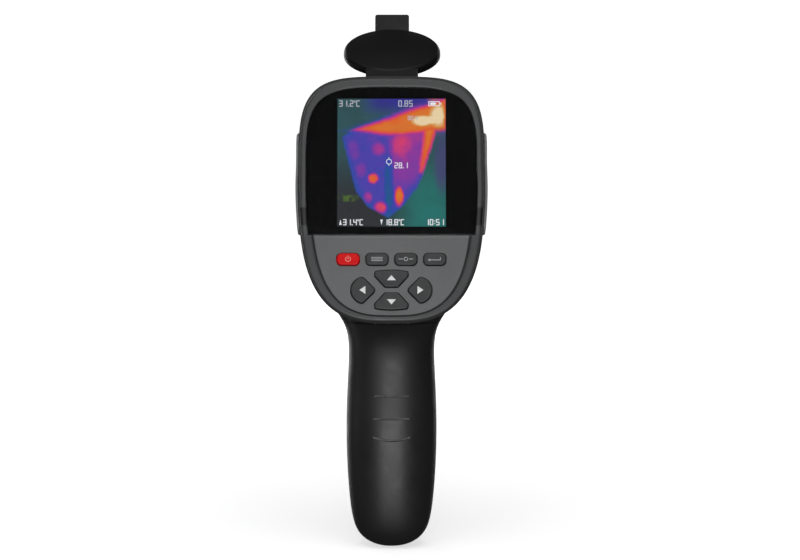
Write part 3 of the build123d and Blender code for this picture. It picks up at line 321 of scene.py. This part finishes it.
# --- finish of every material slot --------------------------------------------
HOUSING = srgb(27, 27, 28)
BEZEL = srgb(60, 61, 62)
BEZEL_PAINTED_REFLECTION = (151.5, 159.0)  # heights between which the bezel is painted black beside the display: a painted dark reflection near the bend of the face
MATERIALS = {
    "housing_plastic": moulded("housing_plastic", HOUSING, 0.5),
    "grip_plastic": moulded("grip_plastic", HOUSING, 0.52),
    "bezel_plastic": moulded("bezel_plastic", BEZEL, 0.5, edge=0.4, band=BEZEL_PAINTED_REFLECTION),
    "pad_rubber": rubber("pad_rubber", srgb(126, 126, 127), rough=0.34, dusty=0.08),
    "window_glass": window_glass("window_glass"),
    "mask_print": printed_black("mask_print"),
    "foam": porous("foam", srgb(40, 40, 42), 0.35, 0.15),
    "display_panel": moulded("display_panel", srgb(40, 42, 46), 0.3, grain=0.01),
    "keypad_plastic": moulded("keypad_plastic", srgb(95, 96, 97), 0.5, edge=0.3),
    "key_rubber": rubber("key_rubber", srgb(50, 51, 52), rough=0.5),
    "power_red": rubber("power_red", srgb(212, 6, 10), rough=0.45, Specular_IOR_Level=0.25),
    "membrane_silicone": rubber("membrane_silicone", srgb(150, 152, 150), rough=0.5),
    "dome_steel": metal("dome_steel", srgb(200, 200, 202), 0.25),
    "circuit_board": circuit_board("circuit_board"),
    "chip_black": moulded("chip_black", srgb(34, 34, 36), 0.5, grain_size=0.2),
    "frame_plastic": moulded("frame_plastic", srgb(30, 31, 33), 0.5),
    "screw_steel": metal("screw_steel", srgb(150, 150, 152), 0.3),
    "brass": metal("brass", srgb(206, 170, 98), 0.28, tint=srgb(140, 104, 56)),
    "flex_film": moulded("flex_film", srgb(176, 112, 34), 0.35, grain=0.008),
    "core_metal": metal("core_metal", srgb(160, 162, 166), 0.38),
    "detector_ceramic": moulded("detector_ceramic", srgb(96, 88, 82), 0.5, grain_size=0.25),
    "motor_steel": metal("motor_steel", srgb(172, 172, 170), 0.3),
    "shutter_black": moulded("shutter_black", srgb(26, 26, 27), 0.55, grain_size=0.3),
    "germanium": coated_lens("germanium"),
    "nose_plastic": moulded("nose_plastic", srgb(28, 28, 29), 0.46),
    "cover_plastic": moulded("cover_plastic", srgb(15, 15, 16), 0.46, Specular_IOR_Level=0.2),
    "seal_felt": porous("seal_felt", srgb(30, 30, 31), 0.5, 0.12, sheen=0.4),
    "pin_steel": metal("pin_steel", srgb(176, 176, 178), 0.24, stretch=(0.08, 1, 1)),
    "spring_steel": metal("spring_steel", srgb(150, 150, 150), 0.3),
    "trigger_plastic": moulded("trigger_plastic", srgb(36, 37, 38), 0.42),
    "battery_wrap": moulded("battery_wrap", srgb(46, 96, 150), 0.35, grain=0.01),
    "flap_rubber": rubber("flap_rubber", srgb(44, 45, 46)),
    "wire_insulation": rubber("wire_insulation", srgb(180, 40, 36), rough=0.45),
}

slot_of_node = {part["node"]: part["material_slot"] for part in frame["record"]["subparts"]}
for node_name, cad_object in frame["nodes"].items():
    finish = MATERIALS[slot_of_node[node_name]]
    mesh = cad_object.data
    mesh.materials.clear()
    mesh.materials.append(finish)
    mesh.polygons.foreach_set("use_smooth", [True] * len(mesh.polygons))


# --- shapes on the display and on the keys ------------------------------------
def face_matrix(tilt, x=0.0, climb=0.0, depth=0.0):
    """Place on the tilted face: x across, climb up the face, depth below it, in mm."""
    across = Vector((1, 0, 0))
    up = Vector((0, math.sin(tilt), math.cos(tilt)))
    out = Vector((0, -math.cos(tilt), math.sin(tilt)))
    origin = BEND + across * x * MM + up * climb * MM - out * depth * MM
    axes = Matrix((across, up, out)).transposed().to_4x4()
    return Matrix.Translation(origin) @ axes


def add_piece(name, vertices, faces, matrix, material, body):
    """Mesh from millimetre points in the matrix's plane."""
    mesh = bpy.data.meshes.new(name)
    points = [matrix @ (Vector(vertex) * MM) for vertex in vertices]
    mesh.from_pydata(points, [], faces)
    mesh.materials.append(material)
    mesh.validate()
    mesh.update()
    piece = bpy.data.objects.new(name, mesh)
    bpy.context.scene.collection.objects.link(piece)
    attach(piece, body)
    return piece


def prisms(outlines, thickness):
    """Closed flat prisms over 2-D outlines (counter-clockwise), as vertices and faces."""
    vertices, faces = [], []
    for line in outlines:
        start = len(vertices)
        count = len(line)
        vertices += [(u, v, 0.0) for u, v in line]
        vertices += [(u, v, thickness) for u, v in line]
        faces.append([start + count + i for i in range(count)])
        faces.append([start + i for i in reversed(range(count))])
        for i in range(count):
            after = (i + 1) % count
            faces.append([start + i, start + after, start + count + after, start + count + i])
    return vertices, faces


def bar(start, end, width):
    """A stroke with pointed ends, as one outline."""
    a, b = Vector(start), Vector(end)
    along = (b - a).normalized() * width / 2
    side = Vector((-along.y, along.x))
    corners = (a - side, b - side, b + along, b + side, a + side, a - along)
    return [tuple(corner) for corner in corners]


def ring(centre, radius, width, start=0.0, end=360.0, steps=20):
    """Round stroke as short outlines, from angle start to end in degrees."""
    pieces = []
    for i in range(steps):
        angles = [math.radians(start + (end - start) * (i + k) / steps) for k in (0, 1)]
        quad = []
        for r, order in ((radius + width / 2, (0, 1)), (radius - width / 2, (1, 0))):
            for k in order:
                u = centre[0] + r * math.cos(angles[k])
                v = centre[1] + r * math.sin(angles[k])
                quad.append((u, v))
        pieces.append(quad)
    return pieces


SEGMENTS = {
    "top": ((0, 2), (1, 2)), "middle": ((0, 1), (1, 1)), "bottom": ((0, 0), (1, 0)),
    "upper_left": ((0, 1), (0, 2)), "upper_right": ((1, 1), (1, 2)),
    "lower_left": ((0, 0), (0, 1)), "lower_right": ((1, 0), (1, 1)),
}
ALL_SEGMENTS = set(SEGMENTS)
DIGITS = {
    "0": ALL_SEGMENTS - {"middle"},
    "1": {"upper_right", "lower_right"},
    "2": ALL_SEGMENTS - {"upper_left", "lower_right"},
    "3": ALL_SEGMENTS - {"upper_left", "lower_left"},
    "4": {"upper_left", "upper_right", "middle", "lower_right"},
    "5": ALL_SEGMENTS - {"upper_right", "lower_left"},
    "8": ALL_SEGMENTS,
    "C": {"top", "upper_left", "lower_left", "bottom"},
}


# how far each kind of sign moves the next one on, in widths of a digit
DIGIT_STEP = 1.65
ARROW_STEP = 1.6
SPACE_STEP = 0.8
COLON_STEP = 0.7
DEGREE_STEP = 0.7
DOT_STEP = 0.6
DOT_HALF = 0.1               # half length of a dot's stroke, in mm
COLON_LENGTH = 0.15
DEGREE_RADIUS = 0.28         # of half the digit's height


def reading(signs, left, low, height, weight):
    """Outlines of a number, such as 31.4 with a degree sign, from its lower left corner."""
    outlines = []
    unit = height / 2
    width = unit
    x = left
    for sign in signs:
        if sign in DIGITS:
            for key in sorted(DIGITS[sign]):
                (u0, v0), (u1, v1) = SEGMENTS[key]
                outlines.append(bar(
                    (x + u0 * width, low + v0 * unit), (x + u1 * width, low + v1 * unit), weight))
            x += width * DIGIT_STEP
        elif sign == ".":
            outlines.append(bar((x - DOT_HALF, low), (x + DOT_HALF, low), weight * 1.2))
            x += width * DOT_STEP
        elif sign == ":":
            for level in (low + unit * 0.5, low + unit * 1.5):
                outlines.append(bar((x, level), (x + COLON_LENGTH, level), weight))
            x += width * COLON_STEP
        elif sign == "o":
            middle = (x, low + unit * 1.75)
            outlines += ring(middle, unit * DEGREE_RADIUS, weight * 0.6, steps=10)
            x += width * DEGREE_STEP
        elif sign == "^":
            outlines.append([(x, low), (x + width, low), (x + width / 2, low + height)])
            x += width * ARROW_STEP
        elif sign == "v":
            outlines.append([(x, low + height), (x + width / 2, low), (x + width, low + height)])
            x += width * ARROW_STEP
        else:
            x += width * SPACE_STEP
    return outlines


# --- the thermal picture --------------------------------------------------------
PICTURE_WIDTH = 51.0
PICTURE_LOW = (151.0 - BEND_Z) / math.cos(SCREEN_TILT)
PICTURE_HIGH = (210.6 - BEND_Z) / math.cos(SCREEN_TILT)
PICTURE_HEIGHT = PICTURE_HIGH - PICTURE_LOW
PICTURE_EDGE = 0.6           # the picture runs on a little under the printed border
PICTURE_DEPTH = 4.62
SIGN_DEPTH = PICTURE_DEPTH - 0.03
SIGN_THICKNESS = 0.05


class Field:
    """A number that varies over the picture, built from Math nodes."""

    def __init__(self, graph, value):
        self.graph = graph
        self.value = value

    def combine(self, operation, other):
        """This number and another one, joined by a Math node."""
        other = other.value if isinstance(other, Field) else other
        return Field(self.graph, self.graph.math(operation, self.value, other))

    def __add__(self, other):
        return self.combine("ADD", other)

    def __sub__(self, other):
        return self.combine("SUBTRACT", other)

    def __mul__(self, other):
        return self.combine("MULTIPLY", other)

    def least(self, other):
        """The lower of the two."""
        return self.combine("MINIMUM", other)

    def most(self, other):
        """The higher of the two."""
        return self.combine("MAXIMUM", other)

    def step(self, low, high):
        """Smooth step from 0 at low to 1 at high."""
        return Field(self.graph, self.graph.spread(self.value, low, high, kind="SMOOTHSTEP"))


def inside(u, v, corners, soft):
    """1 inside a convex outline whose corners run clockwise on the picture, 0 outside."""
    mask = None
    for (u0, v0), (u1, v1) in zip(corners, corners[1:] + corners[:1]):
        length = math.hypot(u1 - u0, v1 - v0)
        across, down = -(v1 - v0) / length, (u1 - u0) / length
        distance = u * across + v * down - (u0 * across + v0 * down)
        mask = distance if mask is None else mask.least(distance)
    return mask.step(-soft, soft)


def spot(u, v, centre, width, height):
    """Round soft spot, 1 in the middle."""
    du = (u - centre[0]) * (1 / width)
    dv = (v - centre[1]) * (1 / height)
    return (du * du + dv * dv).step(1.0, 0.0)


def picture_material():
    """A warm box seen by a heat detector, over a dim picture of the room behind it."""
    g = Graph("picture")
    uv = g.add("ShaderNodeTexCoord").outputs["UV"]
    split = g.add("ShaderNodeSeparateXYZ")
    g.put(uv, split.inputs[0])
    blur = g.noise(2.2, detail=3)
    cloud = g.noise(9, detail=4)
    u = Field(g, split.outputs[0]) + (Field(g, blur) - 0.5) * 0.03
    v = Field(g, g.math("SUBTRACT", 1.0, split.outputs[1])) + (Field(g, cloud) - 0.5) * 0.02
    top = inside(u, v, [(0.12, 0.245), (0.60, 0.10), (1.02, -0.02), (1.02, 0.25), (0.60, 0.29),
                        (0.40, 0.285)], 0.05)
    body = inside(u, v, [(0.045, 0.30), (0.13, 0.235), (0.60, 0.085), (1.02, -0.02), (0.90, 0.30),
                         (0.84, 0.50), (0.745, 0.68), (0.62, 0.82), (0.475, 0.93),
                         (0.28, 0.84), (0.17, 0.72)], 0.012).most(top)
    core = inside(u, v, [(0.07, 0.31), (0.14, 0.26), (0.60, 0.11), (1.02, -0.02), (0.88, 0.30),
                         (0.81, 0.50), (0.72, 0.66), (0.61, 0.79), (0.475, 0.90),
                         (0.30, 0.81), (0.20, 0.70)], 0.05).most(top)
    right = u.step(0.42, 0.54)
    heat = core * 0.16 + Field(g, cloud) * 0.30 - 0.06
    heat = heat + right * 0.22 * v.step(0.95, 0.30)
    valley = spot(u, v, (0.475, 0.66), 0.055, 0.34)
    heat = heat - valley * 0.22
    band = inside(u, v, [(0.79, 0.20), (0.95, 0.20), (0.80, 0.58), (0.74, 0.58)], 0.07)
    heat = heat.most(top * 0.82 * core.step(0.0, 0.6)).most(band * 0.84)
    heat = heat + spot(u, v, (0.79, 0.17), 0.13, 0.055) * 0.24
    heat = heat + spot(u, v, (0.93, 0.13), 0.10, 0.12) * 0.20
    heat = heat - spot(u, v, (0.52, 0.16), 0.10, 0.05) * 0.05
    for centre, width, height, rise in (
            ((0.33, 0.62), 0.065, 0.055, 0.50), ((0.38, 0.39), 0.08, 0.07, 0.24),
            ((0.57, 0.765), 0.055, 0.10, 0.56), ((0.40, 0.85), 0.085, 0.065, 0.42),
            ((0.28, 0.77), 0.055, 0.06, 0.30), ((0.15, 0.40), 0.09, 0.10, 0.12),
            ((0.22, 0.56), 0.07, 0.07, 0.10), ((0.60, 0.36), 0.11, 0.10, 0.10)):
        heat = heat + spot(u, v, centre, width, height) * rise
    warm = g.ramp(heat.value, [
        (0.00, srgb(34, 96, 128)), (0.12, srgb(46, 76, 168)), (0.27, srgb(82, 66, 172)),
        (0.44, srgb(142, 58, 158)), (0.58, srgb(214, 62, 116)), (0.74, srgb(228, 96, 44)),
        (0.86, srgb(222, 128, 50)), (0.95, srgb(224, 170, 110)), (1.0, srgb(240, 214, 170))])
    room = g.mix(v.step(0.25, 0.85).value, srgb(52, 88, 92), srgb(52, 52, 55))
    room = g.mix((u.step(0.35, 0.8) * v.step(0.3, 0.75)).value, room, srgb(42, 116, 110))
    room = g.mix((u.step(0.16, 0.42) * v.step(0.16, 0.02)).value, room, srgb(56, 52, 146))
    room = g.mix(spot(u, v, (0.97, 0.5), 0.10, 0.3).value, room, srgb(70, 74, 116))
    room = g.mix((spot(u, v, (0.10, 0.775), 0.13, 0.035) * Field(g, blur).step(0.35, 0.6)).value,
                 room, srgb(84, 110, 50))
    room = g.mix(g.spread(cloud, 0.3, 0.7, 0.0, 0.25), room, srgb(36, 46, 50))
    hot_corner = spot(u, v, (0.97, 0.03), 0.16, 0.20).value
    room = g.mix(hot_corner, room, srgb(196, 104, 60))
    colour = g.mix(body.value, room, warm)
    dots = g.math("MULTIPLY", g.noise(0.35, detail=1), 0.12)
    colour = g.mix(dots, colour, srgb(20, 20, 24))
    g.put(colour, g.shader.inputs["Emission Color"])
    g.put(g.spread(cloud, 0.3, 0.7, 0.25, 0.35), g.shader.inputs["Roughness"])
    g.set(Base_Color=(0.004, 0.004, 0.005, 1), Emission_Strength=1.05, Specular_IOR_Level=0.05)
    return g.material


def add_picture():
    """Lit layer of the display, a gently divided sheet with its own coordinates."""
    columns, rows = 26, 32
    wide = PICTURE_WIDTH + 2 * PICTURE_EDGE
    tall = PICTURE_HEIGHT + 2 * PICTURE_EDGE
    vertices, faces = [], []
    for j in range(rows + 1):
        climb = PICTURE_LOW - PICTURE_EDGE + tall * j / rows
        for i in range(columns + 1):
            vertices.append((wide * (i / columns - 0.5), climb, 0))
    for j in range(rows):
        for i in range(columns):
            corner = j * (columns + 1) + i
            faces.append((corner, corner + 1, corner + columns + 2, corner + columns + 1))
    piece = add_piece("picture", vertices, faces, face_matrix(SCREEN_TILT, depth=PICTURE_DEPTH),
                      picture_material(), "camera")
    layer = piece.data.uv_layers.new(name="picture")
    for loop in piece.data.loops:
        x, climb, _ = vertices[loop.vertex_index]
        layer.data[loop.index].uv = (
            x / PICTURE_WIDTH + 0.5, (climb - PICTURE_LOW) / PICTURE_HEIGHT)


def sign_material(name, colour, strength):
    """Lit signs on the display, slightly uneven like real pixels."""
    g = Graph(name)
    grain = g.noise(0.3, detail=2)
    g.put(g.mix(g.spread(grain, 0.3, 0.7), shaded(colour, 0.82), colour),
          g.shader.inputs["Emission Color"])
    g.put(g.spread(grain, 0.3, 0.7, 0.3, 0.45), g.shader.inputs["Roughness"])
    g.set(Base_Color=(0.01, 0.01, 0.01, 1), Emission_Strength=strength, Specular_IOR_Level=0.05)
    return g.material


def add_signs():
    """Temperatures, clock, battery sign and centre mark, with numbers of no model."""
    bright = sign_material("signs_bright", srgb(236, 236, 240), 1.1)
    dim = sign_material("signs_dim", srgb(196, 198, 206), 1.0)
    left, right = -PICTURE_WIDTH / 2, PICTURE_WIDTH / 2
    foot = PICTURE_LOW + 1.1
    head = PICTURE_HIGH - 3.4
    bottom = reading("^31.4oC", left + 0.9, foot, 2.5, 0.45)
    bottom += reading("v18.8oC", left + 20.2, foot, 2.5, 0.45)
    bottom += reading("10:51", right - 9.4, foot, 2.5, 0.45)
    near, far = 17.6, 22.6
    low, middle, high = head + 0.2, head + 1.2, head + 2.2
    battery = [bar((near, low), (far, low), 0.4), bar((near, high), (far, high), 0.4),
               bar((near, low), (near, high), 0.4), bar((far, low), (far, high), 0.4),
               bar((far + 0.7, head + 0.8), (far + 0.7, head + 1.6), 0.5),
               bar((near + 1.0, middle), (near + 3.0, middle), 1.2)]
    mark_u, mark_v = -1.2, PICTURE_LOW + PICTURE_HEIGHT * 0.51
    mark = ring((mark_u, mark_v), 1.2, 0.32, steps=24)
    mark += [bar((mark_u, mark_v + 1.1), (mark_u, mark_v + 2.0), 0.3),
             bar((mark_u, mark_v - 1.9), (mark_u, mark_v - 1.1), 0.3)]
    value = reading("28.1", mark_u + 2.8, mark_v - 3.0, 2.4, 0.38)
    top = reading("31.2oC", left + 0.9, head, 2.6, 0.42)
    share = reading("0.85", 3.4, head, 2.6, 0.4)
    small = reading("30.4", 7.6, head - 6.6, 1.8, 0.32)
    for name, outlines, material in (
            ("signs_bottom", bottom, bright), ("sign_battery", battery, bright),
            ("sign_centre", mark + value, bright), ("sign_top", top + share + small, dim)):
        vertices, faces = prisms(outlines, SIGN_THICKNESS)
        add_piece(name, vertices, faces, face_matrix(SCREEN_TILT, depth=SIGN_DEPTH),
                  material, "camera")


# --- signs printed on the keys ------------------------------------------------
KEY_SIGN_DEPTH = 0.215


def key_climb(z):
    """How far up the keypad face a height is."""
    return (z - BEND_Z) / math.cos(KEYPAD_TILT)


def printed_sign(name, colour):
    """Pad printing: slightly broken ink."""
    g = Graph(name)
    worn = g.spread(g.noise(0.5, detail=4, rough=0.7), 0.30, 0.55)
    g.put(g.mix(worn, shaded(colour, 0.7), colour), g.shader.inputs["Base Color"])
    g.put(g.spread(worn, 0, 1, 0.6, 0.42), g.shader.inputs["Roughness"])
    g.put(g.bump(worn, 0.01), g.shader.inputs["Normal"])
    return g.material


def add_key_signs():
    """White arrows on the four arrow keys and small generic signs on the row above."""
    white = printed_sign("ink_white", srgb(238, 238, 238))
    grey = printed_sign("ink_grey", srgb(176, 178, 180))
    pink = printed_sign("ink_power", srgb(240, 150, 140))
    flat, tall = 2.1, 2.5
    arrows = {
        "up_key": (0, 127.0, [(-flat, -0.9), (flat, -0.9), (0, tall - 0.9)]),
        "down_key": (0, 116.7, [(-flat, 0.9), (0, 0.9 - tall), (flat, 0.9)]),
        "left_key": (-13.0, 121.75, [(0.9, -1.95), (0.9, 1.95), (-1.9, 0)]),
        "right_key": (13.0, 121.75, [(-0.9, 1.95), (-0.9, -1.95), (1.9, 0)]),
    }
    signs = {name: (x, z, [line], white) for name, (x, z, line) in arrows.items()}
    row_z, pitch = 135.8, 13.5
    power = ring((0, 0), 1.15, 0.36, 125, 415, 20) + [bar((0, 0.1), (0, 1.55), 0.36)]
    menu = [bar((-2.6, v), (2.6, v), 0.34) for v in (-0.75, 0, 0.75)]
    select = ring((0, 0), 0.85, 0.34, steps=18) + [
        bar((-3.2, 0), (-1.6, 0), 0.36), bar((1.6, 0), (3.2, 0), 0.36)]
    enter = [bar((-2.4, -0.45), (2.6, -0.45), 0.36), bar((2.6, -0.5), (2.6, 0.8), 0.36),
             [(-3.3, -0.45), (-2.1, -1.15), (-2.1, 0.25)]]
    for index, (name, lines, ink) in enumerate((
            ("power_key", power, pink), ("menu_key", menu, grey),
            ("select_key", select, grey), ("enter_key", enter, grey))):
        signs[name] = ((index - 1.5) * pitch, row_z, lines, ink)
    for name, (x, z, lines, ink) in signs.items():
        vertices, faces = prisms(lines, SIGN_THICKNESS)
        body_slot = "power_red" if name == "power_key" else "key_rubber"
        add_piece("sign_on_" + name, vertices, faces,
                  face_matrix(KEYPAD_TILT, x, key_climb(z), KEY_SIGN_DEPTH), ink, name)


add_picture()
add_signs()
add_key_signs()


# --- floor, backdrop, light and camera ------------------------------------------
def stage_material(name, glow):
    """Pale matt studio card with a little light of its own."""
    g = Graph(name)
    cloud = g.noise(900, detail=2)
    g.put(g.mix(g.spread(cloud, 0.3, 0.7), (0.80, 0.80, 0.80, 1), (0.84, 0.84, 0.84, 1)),
          g.shader.inputs["Base Color"])
    g.put(g.spread(cloud, 0.3, 0.7, 0.85, 0.95), g.shader.inputs["Roughness"])
    split = g.add("ShaderNodeSeparateXYZ")
    g.put(g.place, split.inputs[0])
    away = g.math("SQRT", g.math("ADD", g.math("POWER", split.outputs[0], 2.0),
                                 g.math("POWER", split.outputs[1], 2.0)))
    g.put(g.spread(away, 0.15, 0.9, glow, 1.0, kind="SMOOTHSTEP"),
          g.shader.inputs["Emission Strength"])
    g.set(Emission_Color=(1, 1, 1, 1), Specular_IOR_Level=0.0)
    return g.material


def add_stage():
    """Round floor that turns up into a dome.

    Only the camera sees it: it sheds no light on the object and shows in no reflection."""
    reach, rings, spokes = 4.0, 24, 64
    vertices, faces = [(0, 0, 0)], []
    profile = [(reach * 0.2 * k, 0.0) for k in range(1, 5)]
    profile += [(reach * (0.8 + 0.2 * math.sin(a)), reach * 0.2 * (1 - math.cos(a)))
                for a in [math.pi / 2 * k / 8 for k in range(1, 9)]]
    profile += [(reach * math.cos(a), reach * 0.2 + reach * math.sin(a))
                for a in [math.pi / 2 * k / 12 for k in range(1, 12)]]
    for radius, height in profile:
        for k in range(spokes):
            angle = 2 * math.pi * k / spokes
            vertices.append((radius * math.cos(angle), radius * math.sin(angle), height))
    for k in range(spokes):
        faces.append((0, 1 + k, 1 + (k + 1) % spokes))
    for row in range(len(profile) - 1):
        for k in range(spokes):
            a, b = 1 + row * spokes + k, 1 + row * spokes + (k + 1) % spokes
            faces.append((a, a + spokes, b + spokes, b))
    mesh = bpy.data.meshes.new("studio")
    mesh.from_pydata(vertices, [], faces)
    mesh.materials.append(stage_material("studio_card", 0.62))
    mesh.polygons.foreach_set("use_smooth", [True] * len(mesh.polygons))
    studio = bpy.data.objects.new("studio", mesh)
    bpy.context.scene.collection.objects.link(studio)
    studio.visible_diffuse = False
    studio.visible_glossy = False
    studio.visible_transmission = False
    studio.visible_shadow = False


def add_light(name, place, target, width, height, power):
    """Soft box that faces the target."""
    lamp = bpy.data.lights.new(name, "AREA")
    lamp.shape = "RECTANGLE"
    lamp.size, lamp.size_y = width, height
    lamp.energy = power
    light = bpy.data.objects.new(name, lamp)
    bpy.context.scene.collection.objects.link(light)
    light.location = place
    direction = Vector(target) - Vector(place)
    light.rotation_euler = direction.to_track_quat("-Z", "Y").to_euler()
    light.visible_camera = False
    return light


def add_world():
    """Dim surroundings, brighter behind the object, as from a lit backdrop."""
    world = bpy.data.worlds.new("studio_world")
    world.use_nodes = True
    tree = world.node_tree
    tree.nodes.clear()
    output = tree.nodes.new("ShaderNodeOutputWorld")
    background = tree.nodes.new("ShaderNodeBackground")
    direction = tree.nodes.new("ShaderNodeTexCoord")
    split = tree.nodes.new("ShaderNodeSeparateXYZ")
    ramp = tree.nodes.new("ShaderNodeValToRGB")
    ramp.color_ramp.elements[0].position = 0.90
    ramp.color_ramp.elements[0].color = (0.05, 0.05, 0.052, 1)
    ramp.color_ramp.elements[1].position = 0.99
    ramp.color_ramp.elements[1].color = (1, 1, 1, 1)
    tree.links.new(direction.outputs["Generated"], split.inputs[0])
    tree.links.new(split.outputs["Y"], ramp.inputs[0])
    tree.links.new(ramp.outputs[0], background.inputs["Color"])
    tree.links.new(background.outputs[0], output.inputs[0])
    bpy.context.scene.world = world


def add_camera():
    """The user's view of the display: 5 degrees above level, 1.4 m away."""
    elevation = math.radians(5)
    distance = 1.4
    aim = Vector((0.004, 0.0, 0.1251))
    back = Vector((0, -math.cos(elevation), math.sin(elevation)))
    data = bpy.data.cameras.new("camera_view")
    data.sensor_width = 36.0
    data.lens = 134.0
    data.clip_start, data.clip_end = 0.05, 50.0
    camera = bpy.data.objects.new("camera_view", data)
    bpy.context.scene.collection.objects.link(camera)
    camera.location = aim + back * distance
    camera.rotation_euler = (-back).to_track_quat("-Z", "Y").to_euler()
    bpy.context.scene.camera = camera


add_stage()
add_world()
add_light("front_box", (0.0, -1.75, 0.22), (0, 0, 0.12), 0.45, 0.60, 15)
add_light("top_box", (0.0, -0.35, 1.5), (0, 0, 0.15), 1.1, 1.1, 9)
add_light("left_side", (-1.3, 0.25, 0.25), (0, 0.02, 0.17), 0.3, 0.3, 0.6)
add_light("floor_bounce", (0.0, -0.7, 0.03), (0, 0, 0.04), 0.4, 0.05, 0.6)
add_light("left_rim", (-0.62, 1.25, 0.35), (0, 0.02, 0.14), 0.4, 1.0, 5)
add_light("right_rim", (0.55, 1.25, 0.35), (0, 0.02, 0.14), 0.25, 1.0, 2)
add_camera()
bpy.context.scene.view_settings.view_transform = "Standard"
